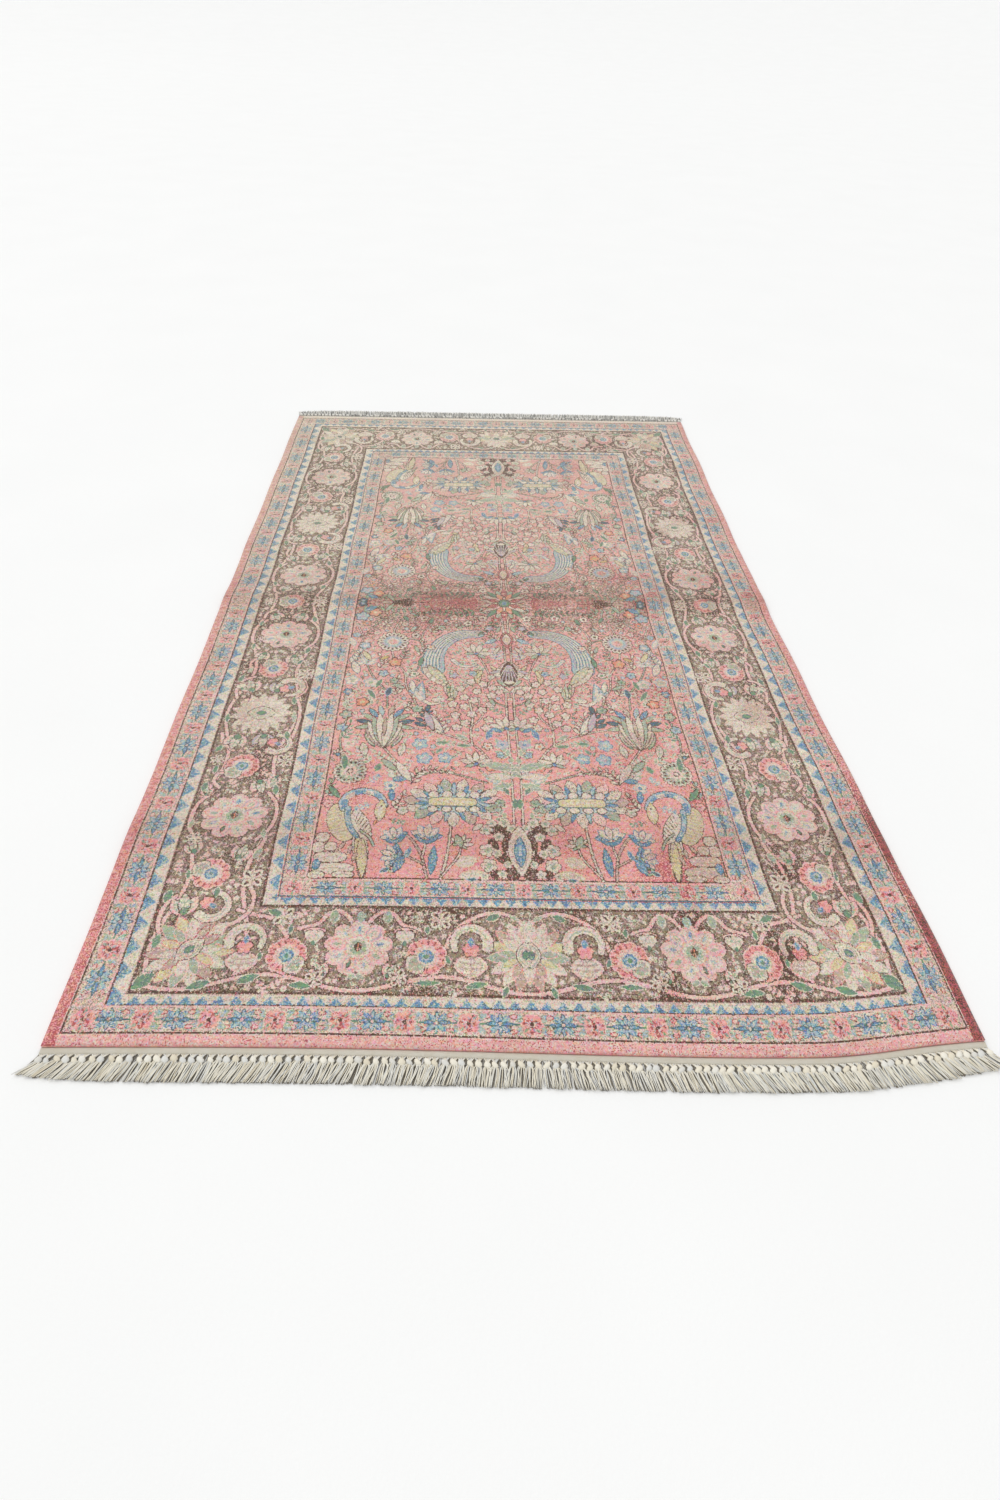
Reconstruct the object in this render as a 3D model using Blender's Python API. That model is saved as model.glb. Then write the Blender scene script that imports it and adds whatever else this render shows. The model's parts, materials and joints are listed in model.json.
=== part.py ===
"""Pictorial silk rug, laid flat: knotted pile body, overcast side edges, flat-woven ends and knotted fringes.

Metres, +Z up. +Y runs along the rug, from its near end to its far end, and +X across it to the right.
The origin is at the middle of the rug's bounding box, on the surface that the rug lies on.
"""
import bpy
import numpy as np

# Plan of the knotted part, side edges included
RUG_WIDTH = 1.22
RUG_LENGTH = 2.04

# Unevenness of the plan: how far each edge strays from the plain rectangle
LEFT_FLARE = {"near": 0.002, "far": 0.012}   # the left side strays outward, more towards the far end
RIGHT_HOLLOW = {"depth": 0.0165, "centre": 0.0, "spread": 0.42}
SIDE_RIPPLE = {"depth": 0.0014, "count": 6.5}
NEAR_BELLY = {"depth": 0.023, "centre": 0.30, "left_spread": 0.42, "right_spread": 0.14}
NEAR_BELLY_FADE = 4                          # power by which the belly dies out along the rug
FAR_SKEW = 0.039                             # the far end leans back by this much across the width
INNER_SHIFT = 0.009                          # the middle of the pattern lies this far right of the outline's

# Thicknesses
FOUNDATION = 0.0022
PILE = 0.0033
PILE_SHOULDER = 0.0012                       # drop of the pile at its outer edge
SHOULDER_WIDTH = 0.004

# Low cross ridges that the rug keeps from having been folded; along and tilt are in metres
CREASES = (
    {"along": -0.010, "height": 0.0040, "half_width": 0.040, "tilt": 0.018},
    {"along": -0.690, "height": 0.0020, "half_width": 0.045, "tilt": -0.012},
    {"along": 0.215, "height": 0.0012, "half_width": 0.040, "tilt": 0.010},
)

# Overcast side edges
SELVEDGE_WIDTH = 0.0055
SELVEDGE_HEIGHT = 0.0046

# Flat-woven ends
KILIM_DEPTH = 0.010
KILIM_THICKNESS = 0.0018

# Fringes: one comb of knotted tassels at each end
TASSEL_COUNT = 114
TASSEL_DEPTH = {"near": 0.034, "far": 0.044}
SPINE_DEPTH = 0.0025
NECK_WIDTH = 0.0046
KNOT_WIDTH = 0.0066
KNOT_REACH = 0.0060
TIP_WIDTH = 0.0070
NECK_HEIGHT = 0.0016
KNOT_HEIGHT = 0.0042
TIP_HEIGHT = 0.0016
LEAN = 0.009                                 # outward lean of a tassel's tip
CORNER_LEAN = 0.017                          # further lean of the outermost tassels
CORNER_SHORTEN = 0.30                        # share by which the outermost tassels reach less far
CORNER_POWER = 12
LEAN_START = 0.12                            # share of the width over which the lean sets in
KNOT_LEAN = 0.12                             # share of the lean already reached at the knot
TIP_SCATTER = 0.0012
DEPTH_SCATTER = 0.0016

GAP = 0.0003                                 # clearance between neighbouring pieces

# Stations of the grid: cells across, even rows along, and closer rows over each crease
CROSS_CELLS = 16
PLAIN_ROWS = 22
CREASE_ROWS = 5


def clear_scene():
    """Start from an empty scene."""
    for item in list(bpy.data.objects):
        bpy.data.objects.remove(item, do_unlink=True)


def bell(t):
    """A smooth bump, 1 at t = 0."""
    return np.exp(-t * t)


def plan(across, along):
    """Place of a point of the knotted part: across and along run from -0.5 to 0.5 of the width and length."""
    across, along = np.broadcast_arrays(np.asarray(across, float), np.asarray(along, float))
    ripple = SIDE_RIPPLE["depth"] * np.sin(2 * np.pi * SIDE_RIPPLE["count"] * along)
    left = -LEFT_FLARE["near"] * (0.5 - along) - LEFT_FLARE["far"] * (0.5 + along) + 0.5 * ripple
    right = -RIGHT_HOLLOW["depth"] * bell((along - RIGHT_HOLLOW["centre"]) / RIGHT_HOLLOW["spread"]) + ripple
    spread = np.where(across < NEAR_BELLY["centre"], NEAR_BELLY["left_spread"], NEAR_BELLY["right_spread"])
    near = -NEAR_BELLY["depth"] * bell((across - NEAR_BELLY["centre"]) / spread)
    x = (across * RUG_WIDTH + (0.5 - across) * left + (0.5 + across) * right
         + INNER_SHIFT * (1 - 4 * across ** 2))
    y = (along * RUG_LENGTH + near * np.clip(0.5 - along, 0, 1) ** NEAR_BELLY_FADE
         + FAR_SKEW * across * np.clip(0.5 + along, 0, None))
    return x, y


def lift(x, y):
    """Height of the underside over the floor: the sum of the low creases."""
    rise = np.zeros_like(x)
    for crease in CREASES:
        middle = crease["along"] + crease["tilt"] * x
        rise = rise + crease["height"] * bell((y - middle) / crease["half_width"])
    return np.where(rise < 0.0001, 0.0, rise)


def cross_stations(edge=0.5):
    """Stations across the rug, drawn in to an edge."""
    return np.clip(np.linspace(-0.5, 0.5, CROSS_CELLS + 1), -edge, edge)


def long_stations():
    """Stations along the rug: even rows, with closer ones over each crease."""
    shoulder = SHOULDER_WIDTH / RUG_LENGTH
    rows = np.linspace(-0.5, 0.5, PLAIN_ROWS).tolist()
    rows += [-0.5 + shoulder, 0.5 - shoulder]
    for crease in CREASES:
        steps = np.linspace(-1.7, 1.7, CREASE_ROWS) * crease["half_width"]
        rows += ((crease["along"] + steps) / RUG_LENGTH).tolist()
    rows = np.array(sorted(rows))
    keep = np.append(np.diff(rows) > 0.9 * shoulder, True)
    return rows[keep]


def end_line(end, across):
    """Points of the knotted part's end edge, straight between stations: end is -1 near or 1 far."""
    stations = cross_stations()
    x, y = plan(stations, 0.5 * end)
    return np.interp(across, stations, x), np.interp(across, stations, y)


def grid_faces(columns, rows):
    """Quads of a grid whose points run across first, then along."""
    corner = (np.arange(rows - 1)[:, None] * columns + np.arange(columns - 1)).ravel()
    return np.stack([corner, corner + 1, corner + columns + 1, corner + columns], 1).tolist()


def thick_sheet(x, y, low, high, faces):
    """Close a flat sheet, whose faces turn left seen from above, into a solid between two heights."""
    count = len(x)
    points = np.concatenate([np.stack([x, y, low], 1), np.stack([x, y, high], 1)])
    edges = {(first, second) for face in faces for first, second in zip(face, face[1:] + face[:1])}
    rim = sorted((first, second) for first, second in edges if (second, first) not in edges)
    under = [face[::-1] for face in faces]
    over = [[index + count for index in face] for face in faces]
    walls = [[first, second, second + count, first + count] for first, second in rim]
    return points, under + over + walls


def body():
    """The knotted body: pile on its foundation, with a rounded shoulder at its edge."""
    shoulder = SHOULDER_WIDTH / RUG_WIDTH
    edge = 0.5 - (SELVEDGE_WIDTH + GAP) / RUG_WIDTH
    columns = np.sort(np.append(cross_stations(edge), [-edge + shoulder, edge - shoulder]))
    rows = long_stations()
    across, along = np.meshgrid(columns, rows)
    x, y = plan(across, along)
    x[0], y[0] = end_line(-1, columns)
    x[-1], y[-1] = end_line(1, columns)
    low = lift(x, y)
    high = low + FOUNDATION + PILE
    high[[0, -1]] -= PILE_SHOULDER
    high[1:-1, [0, -1]] -= PILE_SHOULDER
    return thick_sheet(x.ravel(), y.ravel(), low.ravel(), high.ravel(), grid_faces(len(columns), len(rows)))


def selvedge(side):
    """An overcast edge: a low rounded cord along one side, -1 left or 1 right."""
    outline = np.array([(0.15, 0.0), (0.0, 0.25), (0.0, 0.65), (0.3, 1.0), (1.0, 0.9), (1.0, 0.0)])
    inset = GAP / RUG_LENGTH
    along = np.clip(long_stations(), -0.5 + inset, 0.5 - inset)
    edge_x, edge_y = plan(0.5 * side, along)
    across = side * (0.5 - SELVEDGE_WIDTH / RUG_WIDTH * outline[:, 0])
    x = plan(across[None, :], along[:, None])[0]
    y = edge_y[:, None] + 0 * x
    z = lift(edge_x, edge_y)[:, None] + SELVEDGE_HEIGHT * outline[:, 1]
    sides = len(outline)
    ring = np.arange(sides)
    start = sides * np.arange(len(along) - 1)[:, None]
    following = (ring + 1) % sides
    quads = np.stack([start + ring, start + following, start + sides + following, start + sides + ring], 2)
    faces = quads.reshape(-1, 4).tolist()
    faces += [ring[::-1].tolist(), (ring + sides * (len(along) - 1)).tolist()]
    if side > 0:
        faces = [face[::-1] for face in faces]
    return np.stack([x.ravel(), y.ravel(), z.ravel()], 1), faces


def kilim(end):
    """A flat-woven strip past the pile, as wide as the rug."""
    x, y = end_line(end, cross_stations())
    edges = sorted((end * GAP, end * (GAP + KILIM_DEPTH)))
    x = np.concatenate([x, x])
    y = np.concatenate([y + edges[0], y + edges[1]])
    return thick_sheet(x, y, 0 * x, 0 * x + KILIM_THICKNESS, grid_faces(CROSS_CELLS + 1, 2))


def fringe(end, depth, seed):
    """A comb of tassels: a narrow spine, then for each tassel a neck, a knot and a spreading brush."""
    chance = np.random.default_rng(seed)
    middle = (np.arange(TASSEL_COUNT) + 0.5) / TASSEL_COUNT - 0.5
    corner = np.abs(2 * middle) ** CORNER_POWER
    lean = np.sign(middle) * (LEAN * np.clip(np.abs(middle) / LEAN_START, 0, 1) + CORNER_LEAN * corner)
    lean = lean + chance.uniform(-TIP_SCATTER, TIP_SCATTER, TASSEL_COUNT)
    length = depth * (1 - CORNER_SHORTEN * corner) + chance.uniform(-DEPTH_SCATTER, DEPTH_SCATTER, TASSEL_COUNT)
    base_x, base_y = end_line(end, middle)
    inner = KILIM_DEPTH + 2 * GAP
    neck = inner + SPINE_DEPTH
    levels = (
        {"width": NECK_WIDTH, "out": neck, "height": NECK_HEIGHT, "lean": 0.0},
        {"width": KNOT_WIDTH, "out": neck + KNOT_REACH, "height": KNOT_HEIGHT, "lean": KNOT_LEAN},
        {"width": TIP_WIDTH, "out": inner + length, "height": TIP_HEIGHT, "lean": 1.0},
    )
    # Each tassel has a left and a right point at every level
    x = [base_x + level["lean"] * lean + half * level["width"] for level in levels for half in (-0.5, 0.5)]
    y = [base_y + end * level["out"] for level in levels for _ in range(2)]
    high = [np.full(TASSEL_COUNT, level["height"]) for level in levels for _ in range(2)]
    x, y, high = (np.stack(part, 1).ravel() for part in (x, y, high))
    faces = []
    for start in range(0, 6 * TASSEL_COUNT, 6):
        for left in (start, start + 2):
            faces.append([left, left + 2, left + 3, left + 1])
    # The spine joins the necks to an inner edge, whose corners are the kilim's stations
    spine_x, spine_y = end_line(end, cross_stations(0.5 - 0.5 / TASSEL_COUNT + 0.5 * NECK_WIDTH / RUG_WIDTH))
    first = len(x)
    necks = np.flatnonzero(np.arange(first) % 6 < 2)
    cuts = np.searchsorted(x[necks], spine_x)
    cuts[0], cuts[-1] = 0, len(necks) - 1
    for cell in range(CROSS_CELLS):
        row = necks[cuts[cell]:cuts[cell + 1] + 1].tolist()
        half = len(row) // 2
        left, right = first + cell, first + cell + 1
        faces += [[row[step], row[step + 1], left if step < half else right] for step in range(len(row) - 1)]
        faces.append([row[half], right, left])
    if end > 0:
        faces = [face[::-1] for face in faces]
    x = np.concatenate([x, spine_x])
    y = np.concatenate([y, spine_y + end * inner])
    high = np.concatenate([high, np.full(len(spine_x), NECK_HEIGHT)])
    return thick_sheet(x, y, 0 * x, high, faces)


def material(name, colour, roughness):
    """A plain cloth finish."""
    finish = bpy.data.materials.new(name)
    finish.use_nodes = True
    shader = finish.node_tree.nodes["Principled BSDF"]
    shader.inputs["Base Color"].default_value = (*colour, 1.0)
    shader.inputs["Roughness"].default_value = roughness
    shader.inputs["Metallic"].default_value = 0.0
    return finish


def place(name, points, faces, finish):
    """Make one closed solid."""
    mesh = bpy.data.meshes.new(name)
    mesh.from_pydata(points.tolist(), [], faces)
    mesh.validate()
    mesh.materials.append(finish)
    piece = bpy.data.objects.new(name, mesh)
    bpy.context.scene.collection.objects.link(piece)
    return piece


def build():
    """Make every piece, then stand the whole on the middle of its box."""
    clear_scene()
    silk = material("pile_silk", (0.72, 0.50, 0.46), 0.55)
    edge = material("overcast_silk", (0.66, 0.33, 0.31), 0.6)
    flat = material("flat_weave", (0.80, 0.76, 0.66), 0.85)
    warp = material("warp_yarn", (0.78, 0.74, 0.64), 0.85)
    solids = (
        ("rug_body", body(), silk),
        ("selvedge_left", selvedge(-1), edge),
        ("selvedge_right", selvedge(1), edge),
        ("kilim_near", kilim(-1), flat),
        ("kilim_far", kilim(1), flat),
        ("fringe_near", fringe(-1, TASSEL_DEPTH["near"], 11), warp),
        ("fringe_far", fringe(1, TASSEL_DEPTH["far"], 12), warp),
    )
    everything = np.concatenate([solid[0] for _, solid, _ in solids])
    middle = (everything.min(0) + everything.max(0)) / 2
    middle[2] = 0.0
    for name, (points, faces), finish in solids:
        place(name, points - middle, faces, finish)


build()
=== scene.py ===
import json
import math

import bpy
import numpy as np
from mathutils import Matrix, Vector


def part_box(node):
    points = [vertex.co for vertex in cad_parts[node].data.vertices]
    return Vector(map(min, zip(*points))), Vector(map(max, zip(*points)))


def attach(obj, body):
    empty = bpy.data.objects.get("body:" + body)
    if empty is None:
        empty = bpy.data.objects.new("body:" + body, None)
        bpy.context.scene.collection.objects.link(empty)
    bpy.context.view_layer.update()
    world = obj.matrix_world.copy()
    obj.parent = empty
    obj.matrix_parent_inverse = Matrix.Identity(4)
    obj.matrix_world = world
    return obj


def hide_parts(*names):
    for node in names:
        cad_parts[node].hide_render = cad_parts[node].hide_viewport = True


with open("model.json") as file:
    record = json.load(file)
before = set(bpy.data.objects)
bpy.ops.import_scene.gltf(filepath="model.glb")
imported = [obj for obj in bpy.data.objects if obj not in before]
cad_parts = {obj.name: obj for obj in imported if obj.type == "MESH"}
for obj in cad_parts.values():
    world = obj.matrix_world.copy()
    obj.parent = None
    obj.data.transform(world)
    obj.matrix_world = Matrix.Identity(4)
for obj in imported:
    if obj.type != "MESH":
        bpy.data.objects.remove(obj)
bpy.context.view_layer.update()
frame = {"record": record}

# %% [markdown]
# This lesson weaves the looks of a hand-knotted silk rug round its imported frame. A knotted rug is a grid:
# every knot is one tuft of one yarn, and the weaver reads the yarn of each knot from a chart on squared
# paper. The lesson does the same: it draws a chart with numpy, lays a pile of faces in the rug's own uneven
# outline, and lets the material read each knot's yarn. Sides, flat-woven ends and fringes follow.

MM = 0.001
record_slots = [material["slot"] for material in frame["record"]["materials"]]
print("slots of the record:", record_slots)

# %% [markdown]
# The knotted part is 1.22 m by 2.04 m, and never quite square: the sides waver, the left one flares at the
# far end, the right one is a little hollow, the near end bellies out and the far end is skewed. The frame has
# the same outline. One function turns a share of the width and length into a place, for every piece.

# %% The outline of the rug
RUG_WIDTH = 1.22
RUG_LENGTH = 2.04
LEFT_FLARE = {"near": 0.002, "far": 0.012}
RIGHT_HOLLOW = {"depth": 0.0165, "centre": 0.0, "spread": 0.42}
SIDE_RIPPLE = {"depth": 0.0014, "count": 6.5}
NEAR_BELLY = {"depth": 0.023, "centre": 0.30, "left_spread": 0.42, "right_spread": 0.14}
NEAR_BELLY_FADE = 4
FAR_SKEW = 0.039
INNER_SHIFT = 0.009
LOWEST_RISE = 0.0001    # a crease's bell is cut off below this height
CREASES = (  # along, height, half width, tilt
    (-0.010, 0.0040, 0.040, 0.018),
    (-0.690, 0.0020, 0.045, -0.012),
    (0.215, 0.0012, 0.040, 0.010),
)


def bell(t):
    """The bell curve exp(-t * t)."""
    return np.exp(-t * t)


def uneven(across, along):
    """The place of a point at shares -0.5 to 0.5 of the width and length: the true rectangle, plus the left
    flare, the right hollow and the side ripple, plus the near belly and the far skew."""
    ripple = SIDE_RIPPLE["depth"] * np.sin(2 * np.pi * SIDE_RIPPLE["count"] * along)
    left = -LEFT_FLARE["near"] * (0.5 - along) - LEFT_FLARE["far"] * (0.5 + along) + 0.5 * ripple
    right = -RIGHT_HOLLOW["depth"] * bell((along - RIGHT_HOLLOW["centre"]) / RIGHT_HOLLOW["spread"]) + ripple
    spread = np.where(across < NEAR_BELLY["centre"], NEAR_BELLY["left_spread"], NEAR_BELLY["right_spread"])
    near = -NEAR_BELLY["depth"] * bell((across - NEAR_BELLY["centre"]) / spread)
    bow = INNER_SHIFT * (1 - 4 * across ** 2)
    x = across * RUG_WIDTH + (0.5 - across) * left + (0.5 + across) * right + bow
    y = (along * RUG_LENGTH + near * np.clip(0.5 - along, 0, 1) ** NEAR_BELLY_FADE
         + FAR_SKEW * across * np.clip(0.5 + along, 0, None))
    return x, y


edge = np.linspace(-0.5, 0.5, 2001)
ends_x, ends_y = uneven(np.concatenate((edge, edge, 0 * edge - 0.5, 0 * edge + 0.5)),
                        np.concatenate((0 * edge - 0.5, 0 * edge + 0.5, edge, edge)))
body_low, body_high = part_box("rug_body")
shift = (0.5 * (body_low.x + body_high.x) - 0.5 * (ends_x.min() + ends_x.max()),
         0.5 * (body_low.y + body_high.y) - 0.5 * (ends_y.min() + ends_y.max()))


def plan(across, along):
    """The uneven outline, moved to where the frame's body lies."""
    x, y = uneven(across, along)
    return x + shift[0], y + shift[1]


def lift(x, y):
    """How far the soft folds raise the rug: the sum of a bell across each crease's own slanted line."""
    total = np.zeros(np.broadcast(x, y).shape)
    for along, height, half_width, tilt in CREASES:
        rise = height * bell((y - shift[1] - (along + tilt * (x - shift[0]))) / half_width)
        total = total + np.where(rise < LOWEST_RISE, 0, rise)
    return total


print("the outline moves by", [round(s * 1000, 2) for s in shift], "mm to meet the frame")

# %% [markdown]
# The yarns come first: sixteen shades, all faded by light. They are a rose ground, creams and straw, a taupe
# border, brown outlines, and a few blues and greens. The chart's drawing names each by its letter.

# %% The sixteen yarns
# the faded colours also serve as the painted sheen of the far end
YARNS = {  # letter: the fresh colour and the faded one, each red, green, blue as the eye sees them, 0 to 255
    "r": ((231, 160, 154), (213, 180, 163)),    # rose, the ground of the field
    "m": ((184, 94, 94), (188, 144, 130)),      # madder
    "p": ((230, 188, 182), (223, 200, 183)),    # pink
    "c": ((222, 210, 194), (230, 219, 200)),    # cream
    "y": ((214, 201, 158), (216, 204, 170)),    # straw
    "t": ((146, 126, 109), (138, 119, 97)),     # taupe, the ground of the border
    "u": ((92, 66, 54), (94, 73, 56)),          # umber, for outlines
    "a": ((190, 164, 149), (194, 174, 150)),    # almond
    "s": ((170, 175, 150), (184, 184, 158)),    # sage
    "g": ((116, 146, 118), (134, 144, 118)),    # leaf green
    "k": ((172, 189, 192), (180, 187, 181)),    # sky
    "b": ((106, 145, 177), (118, 147, 164)),    # blue
    "n": ((86, 104, 114), (106, 116, 116)),     # slate
    "l": ((186, 166, 174), (192, 180, 170)),    # lilac
    "o": ((222, 138, 110), (212, 170, 140)),    # coral
    "w": ((200, 174, 116), (204, 184, 140)),    # gold
}
LETTERS = "".join(YARNS)
CODE = {letter: number for number, letter in enumerate(LETTERS)}


def codes(yarns):
    """The numbers of several yarns."""
    return np.array([CODE[yarn] for yarn in yarns], np.uint8)


print(len(YARNS), "yarns:", LETTERS)

# %% [markdown]
# The pattern is the same in all four quarters, so the chart is drawn once, for the left near quarter, in
# millimetres from its corner, and then mirrored. First come its sizes, and the helpers for paths, bearings
# and tables.

# %% Sizes, paths and tables
HALF_WIDTH = 610.0
HALF_LENGTH = 990.0
COLUMNS = 480
ROWS = 780
EDGE = 1.5          # how far an outline stands out, in mm
RIB = 0.8           # half width of a leaf's rib
STEM = 1.4          # width of a thin stem
THINNEST = 0.75     # half width below which a line would miss knots
STEP = 0.8          # from one point of a smooth path to the next
GOLDEN_ANGLE = math.pi * (3 - math.sqrt(5))


def smooth(points):
    """Points about every STEP on a Catmull-Rom curve through places, or through numbers in pairs: on each
    span, the cubic through both ends whose slopes are half the chords between their neighbours."""
    p = np.reshape(points, (-1, 2)).astype(float)
    p = np.vstack((2 * p[0] - p[1], p, 2 * p[-1] - p[-2]))
    spans = []
    for a, b, c, d in zip(p[:-3], p[1:-2], p[2:-1], p[3:]):
        t = np.linspace(0, 1, max(2, int(np.hypot(*(c - b)) / STEP)), endpoint=False)[:, None]
        spans.append(0.5 * (2 * b + (c - a) * t + (2 * a - 5 * b + 4 * c - d) * t ** 2
                            + (3 * b - a - 3 * c + d) * t ** 3))
    return np.vstack(spans + [p[-2:-1]])


def toward(turn):
    """The step of 1 mm along a compass bearing in degrees, and the step to its right."""
    sine, cosine = math.sin(math.radians(turn)), math.cos(math.radians(turn))
    return np.array((sine, cosine)), np.array((cosine, -sine))


def moved(at, turn, ahead):
    """The place that lies ahead mm from another along a compass bearing."""
    return np.array(at) + ahead * toward(turn)[0]


def entries(text):
    """The rows of a table written as text: commas part the rows and spaces their parts, numbers or yarns."""
    return [[part if part.isalpha() else float(part) for part in row.split()] for row in text.split(",")]


def arc(at, radius, start, stop):
    """Nine places on a round arc, from one compass bearing in degrees to another."""
    bearing = np.radians(np.linspace(start, stop, 9))
    return np.stack((at[0] + radius * np.sin(bearing), at[1] + radius * np.cos(bearing)), 1)


def layers(yarns):
    """The yarns of a mark, each with how far it stands out: an outline and a body, or a body alone."""
    return zip((EDGE, 0) if len(yarns) > 1 else (0,), yarns)


print("a straight path of 80 mm has", len(smooth(((0, 0), (80, 0)))), "points")

# %% [markdown]
# The drawing needs only six kinds of mark: a smooth line, a leaf, a frond of leaves, a bloom made of rings of
# petals, a rounded patch and a scatter of dots. Each gives the knots inside its outline one of its yarns.

# %% The chart and its marks
class Chart:
    """A quarter of the knot chart: u runs in from the left side and v up from the near end, both in mm."""

    def __init__(self, ground):
        self.size = np.array((HALF_WIDTH / COLUMNS, HALF_LENGTH / ROWS))
        self.u = (np.arange(COLUMNS) + 0.5) * self.size[0]
        self.v = (np.arange(ROWS) + 0.5) * self.size[1]
        self.yarn = np.full((ROWS, COLUMNS), CODE[ground], np.uint8)

    def near(self, u, v, reach, turn):
        """The knots within reach of a point, and how far each lies along and across a compass bearing."""
        columns = slice(*np.searchsorted(self.u, (u - reach, u + reach)))
        rows = slice(*np.searchsorted(self.v, (v - reach, v + reach)))
        du, dv = self.u[None, columns] - u, self.v[rows, None] - v
        ahead, beside = toward(turn)
        return (rows, columns), du * ahead[0] + dv * ahead[1], du * beside[0] + dv * beside[1]

    def fill(self, place, inside, yarn):
        """Gives every knot inside one yarn."""
        self.yarn[place][inside] = CODE[yarn]

    def patch(self, u, v, half_u, half_v, yarns, turn=0.0, power=2.0):
        """A rounded block: |across / half_u| ** power + |along / half_v| ** power below 1. The last yarn is
        its body, and one before it an edge outside."""
        place, along, across = self.near(u, v, 1.5 * max(half_u, half_v) + EDGE, turn)
        for extra, yarn in layers(yarns):
            out = np.abs(across / (half_u + extra)) ** power + np.abs(along / (half_v + extra)) ** power
            self.fill(place, out < 1, yarn)

    def dots(self, u, v, half_u, half_v, yarn, pitch, turn=0.0, wide=1):
        """Dots about a pitch apart in an ellipse, on a sunflower's spiral: the k-th of n lies at the share
        sqrt(k / n) of the way out, a golden angle on from the one before. A dot is 1 to 3 knots wide."""
        count = max(1, int(math.pi * half_u * half_v / pitch ** 2))
        k = np.arange(count) + 0.5
        out = np.sqrt(k / count)
        ahead, beside = toward(turn)
        middle = (np.array((u, v)) + np.outer(half_u * out * np.sin(GOLDEN_ANGLE * k), beside)
                  + np.outer(half_v * out * np.cos(GOLDEN_ANGLE * k), ahead))
        column, row = np.floor(middle / self.size).astype(int).T
        for step in range(wide):
            self.yarn[np.clip(row, 0, ROWS - 1), np.clip(column + step, 0, COLUMNS - 1)] = CODE[yarn]

    def stroke(self, points, width, yarns, taper=0.0):
        """A line along a smooth path, its half width shrinking by taper to its end, outlined first if two
        yarns are given: every knot whose middle is within that half width of the path."""
        path = smooth(points)
        half = 0.5 * width * (1 - taper * np.linspace(0, 1, len(path)))
        for extra, yarn in layers(yarns):
            reach = int(np.ceil((half.max() + extra) / self.size.min())) + 1
            steps = np.arange(-reach, reach + 1)
            block = np.stack(np.meshgrid(steps, steps), -1).reshape(1, -1, 2)
            knots = np.floor(path / self.size)[:, None] + block
            gap = (((knots + 0.5) * self.size - path[:, None]) ** 2).sum(-1)
            on_chart = ((knots >= 0) & (knots < (COLUMNS, ROWS))).all(-1)
            within = gap <= np.maximum(half[:, None] + extra, THINNEST) ** 2
            column, row = knots[within & on_chart].astype(int).T
            self.yarn[row, column] = CODE[yarn]

    def leaf(self, u, v, length, width, turn, yarns="cg", bend=0.0, veins=0):
        """A leaf from its foot: half width * sin(pi t) ** 0.75 about an axis bowed by bend. Its yarns are for
        the outline, the body, and the rib and veins if there is a third."""
        middle = np.array((u, v)) + 0.5 * length * toward(turn)[0]
        place, along, across = self.near(*middle, 0.75 * length + width, turn)
        t = np.clip(along / length + 0.5, 0, 1)
        half = 0.5 * width * np.sin(np.pi * t) ** 0.75
        off = np.abs(across - bend * length * 4 * t * (1 - t))
        inside = np.abs(along) < 0.5 * length
        self.fill(place, inside & (off < half), yarns[0])
        self.fill(place, inside & (off < half - EDGE), yarns[1])
        if len(yarns) > 2:
            self.fill(place, inside & (off < RIB) & (t < 0.85), yarns[2])
            if veins:
                slant = (t * veins - off / width) % 1
                self.fill(place, inside & (off < half - EDGE) & (slant < 0.33), yarns[2])

    def bloom(self, u, v, size, rings, turn=0.0, squash=1.0):
        """Rings of petals, outside in. A ring (reach, petals, depth, sharp, yarns) fills radii below size *
        reach * (1 - depth + depth * |cos(petals * angle / 2)| ** sharp), its yarns taking turns by petal.
        squash widens the bloom."""
        place, along, across = self.near(u, v, size * max(1, squash), turn)
        across = across / squash
        angle = np.arctan2(across, along)
        radius = np.hypot(along, across) / size
        for reach, petals, depth, sharp, yarns in rings:
            wave = np.abs(np.cos(petals * angle / 2)) ** sharp
            inside = radius < reach * (1 - depth + depth * wave)
            turnwise = np.floor(petals * angle / (2 * np.pi) + 0.5).astype(int) % len(yarns)
            self.yarn[place][inside] = codes(yarns)[turnwise][inside]

    def frond(self, points, pitch, length, width, yarns, stem="u", slant=48):
        """A stem with leaves in pairs every pitch mm, which lean forward by slant degrees and shrink by half
        towards the tip, where the last one stands."""
        path = smooth(points)
        self.stroke(points, STEM, stem)
        every = max(1, int(pitch / STEP))
        for index in range(every // 2, len(path) - 2, every):
            step = path[index + 1] - path[index]
            bearing = math.degrees(math.atan2(*step))
            small = 1 - 0.5 * index / len(path)
            for side in (-1, 1):
                self.leaf(*path[index], length * small, width * small + 0.8, bearing + side * slant, yarns)
        self.leaf(*path[-1], 0.8 * length, width, math.degrees(math.atan2(*(path[-1] - path[-2]))), yarns)


chart = Chart("r")
patch, dots, stroke = chart.patch, chart.dots, chart.stroke
leaf, bloom, frond = chart.leaf, chart.bloom, chart.frond


def each(mark, table):
    """Draws a mark for every row of a table, and returns how many."""
    rows = entries(table)
    for row in rows:
        mark(*row)
    return len(rows)


print("the quarter has", chart.yarn.size, "knots, each", chart.size.round(2), "mm")

# %% [markdown]
# Seven nested frames make the borders: a plain stripe, a flower guard, a row of triangles, the wide main
# border, triangles again, a second guard, and the field. Each is filled from the outside in, and a fine line
# of umber beside one of cream or pink parts it from the next. The sides are broader than the ends.

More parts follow.
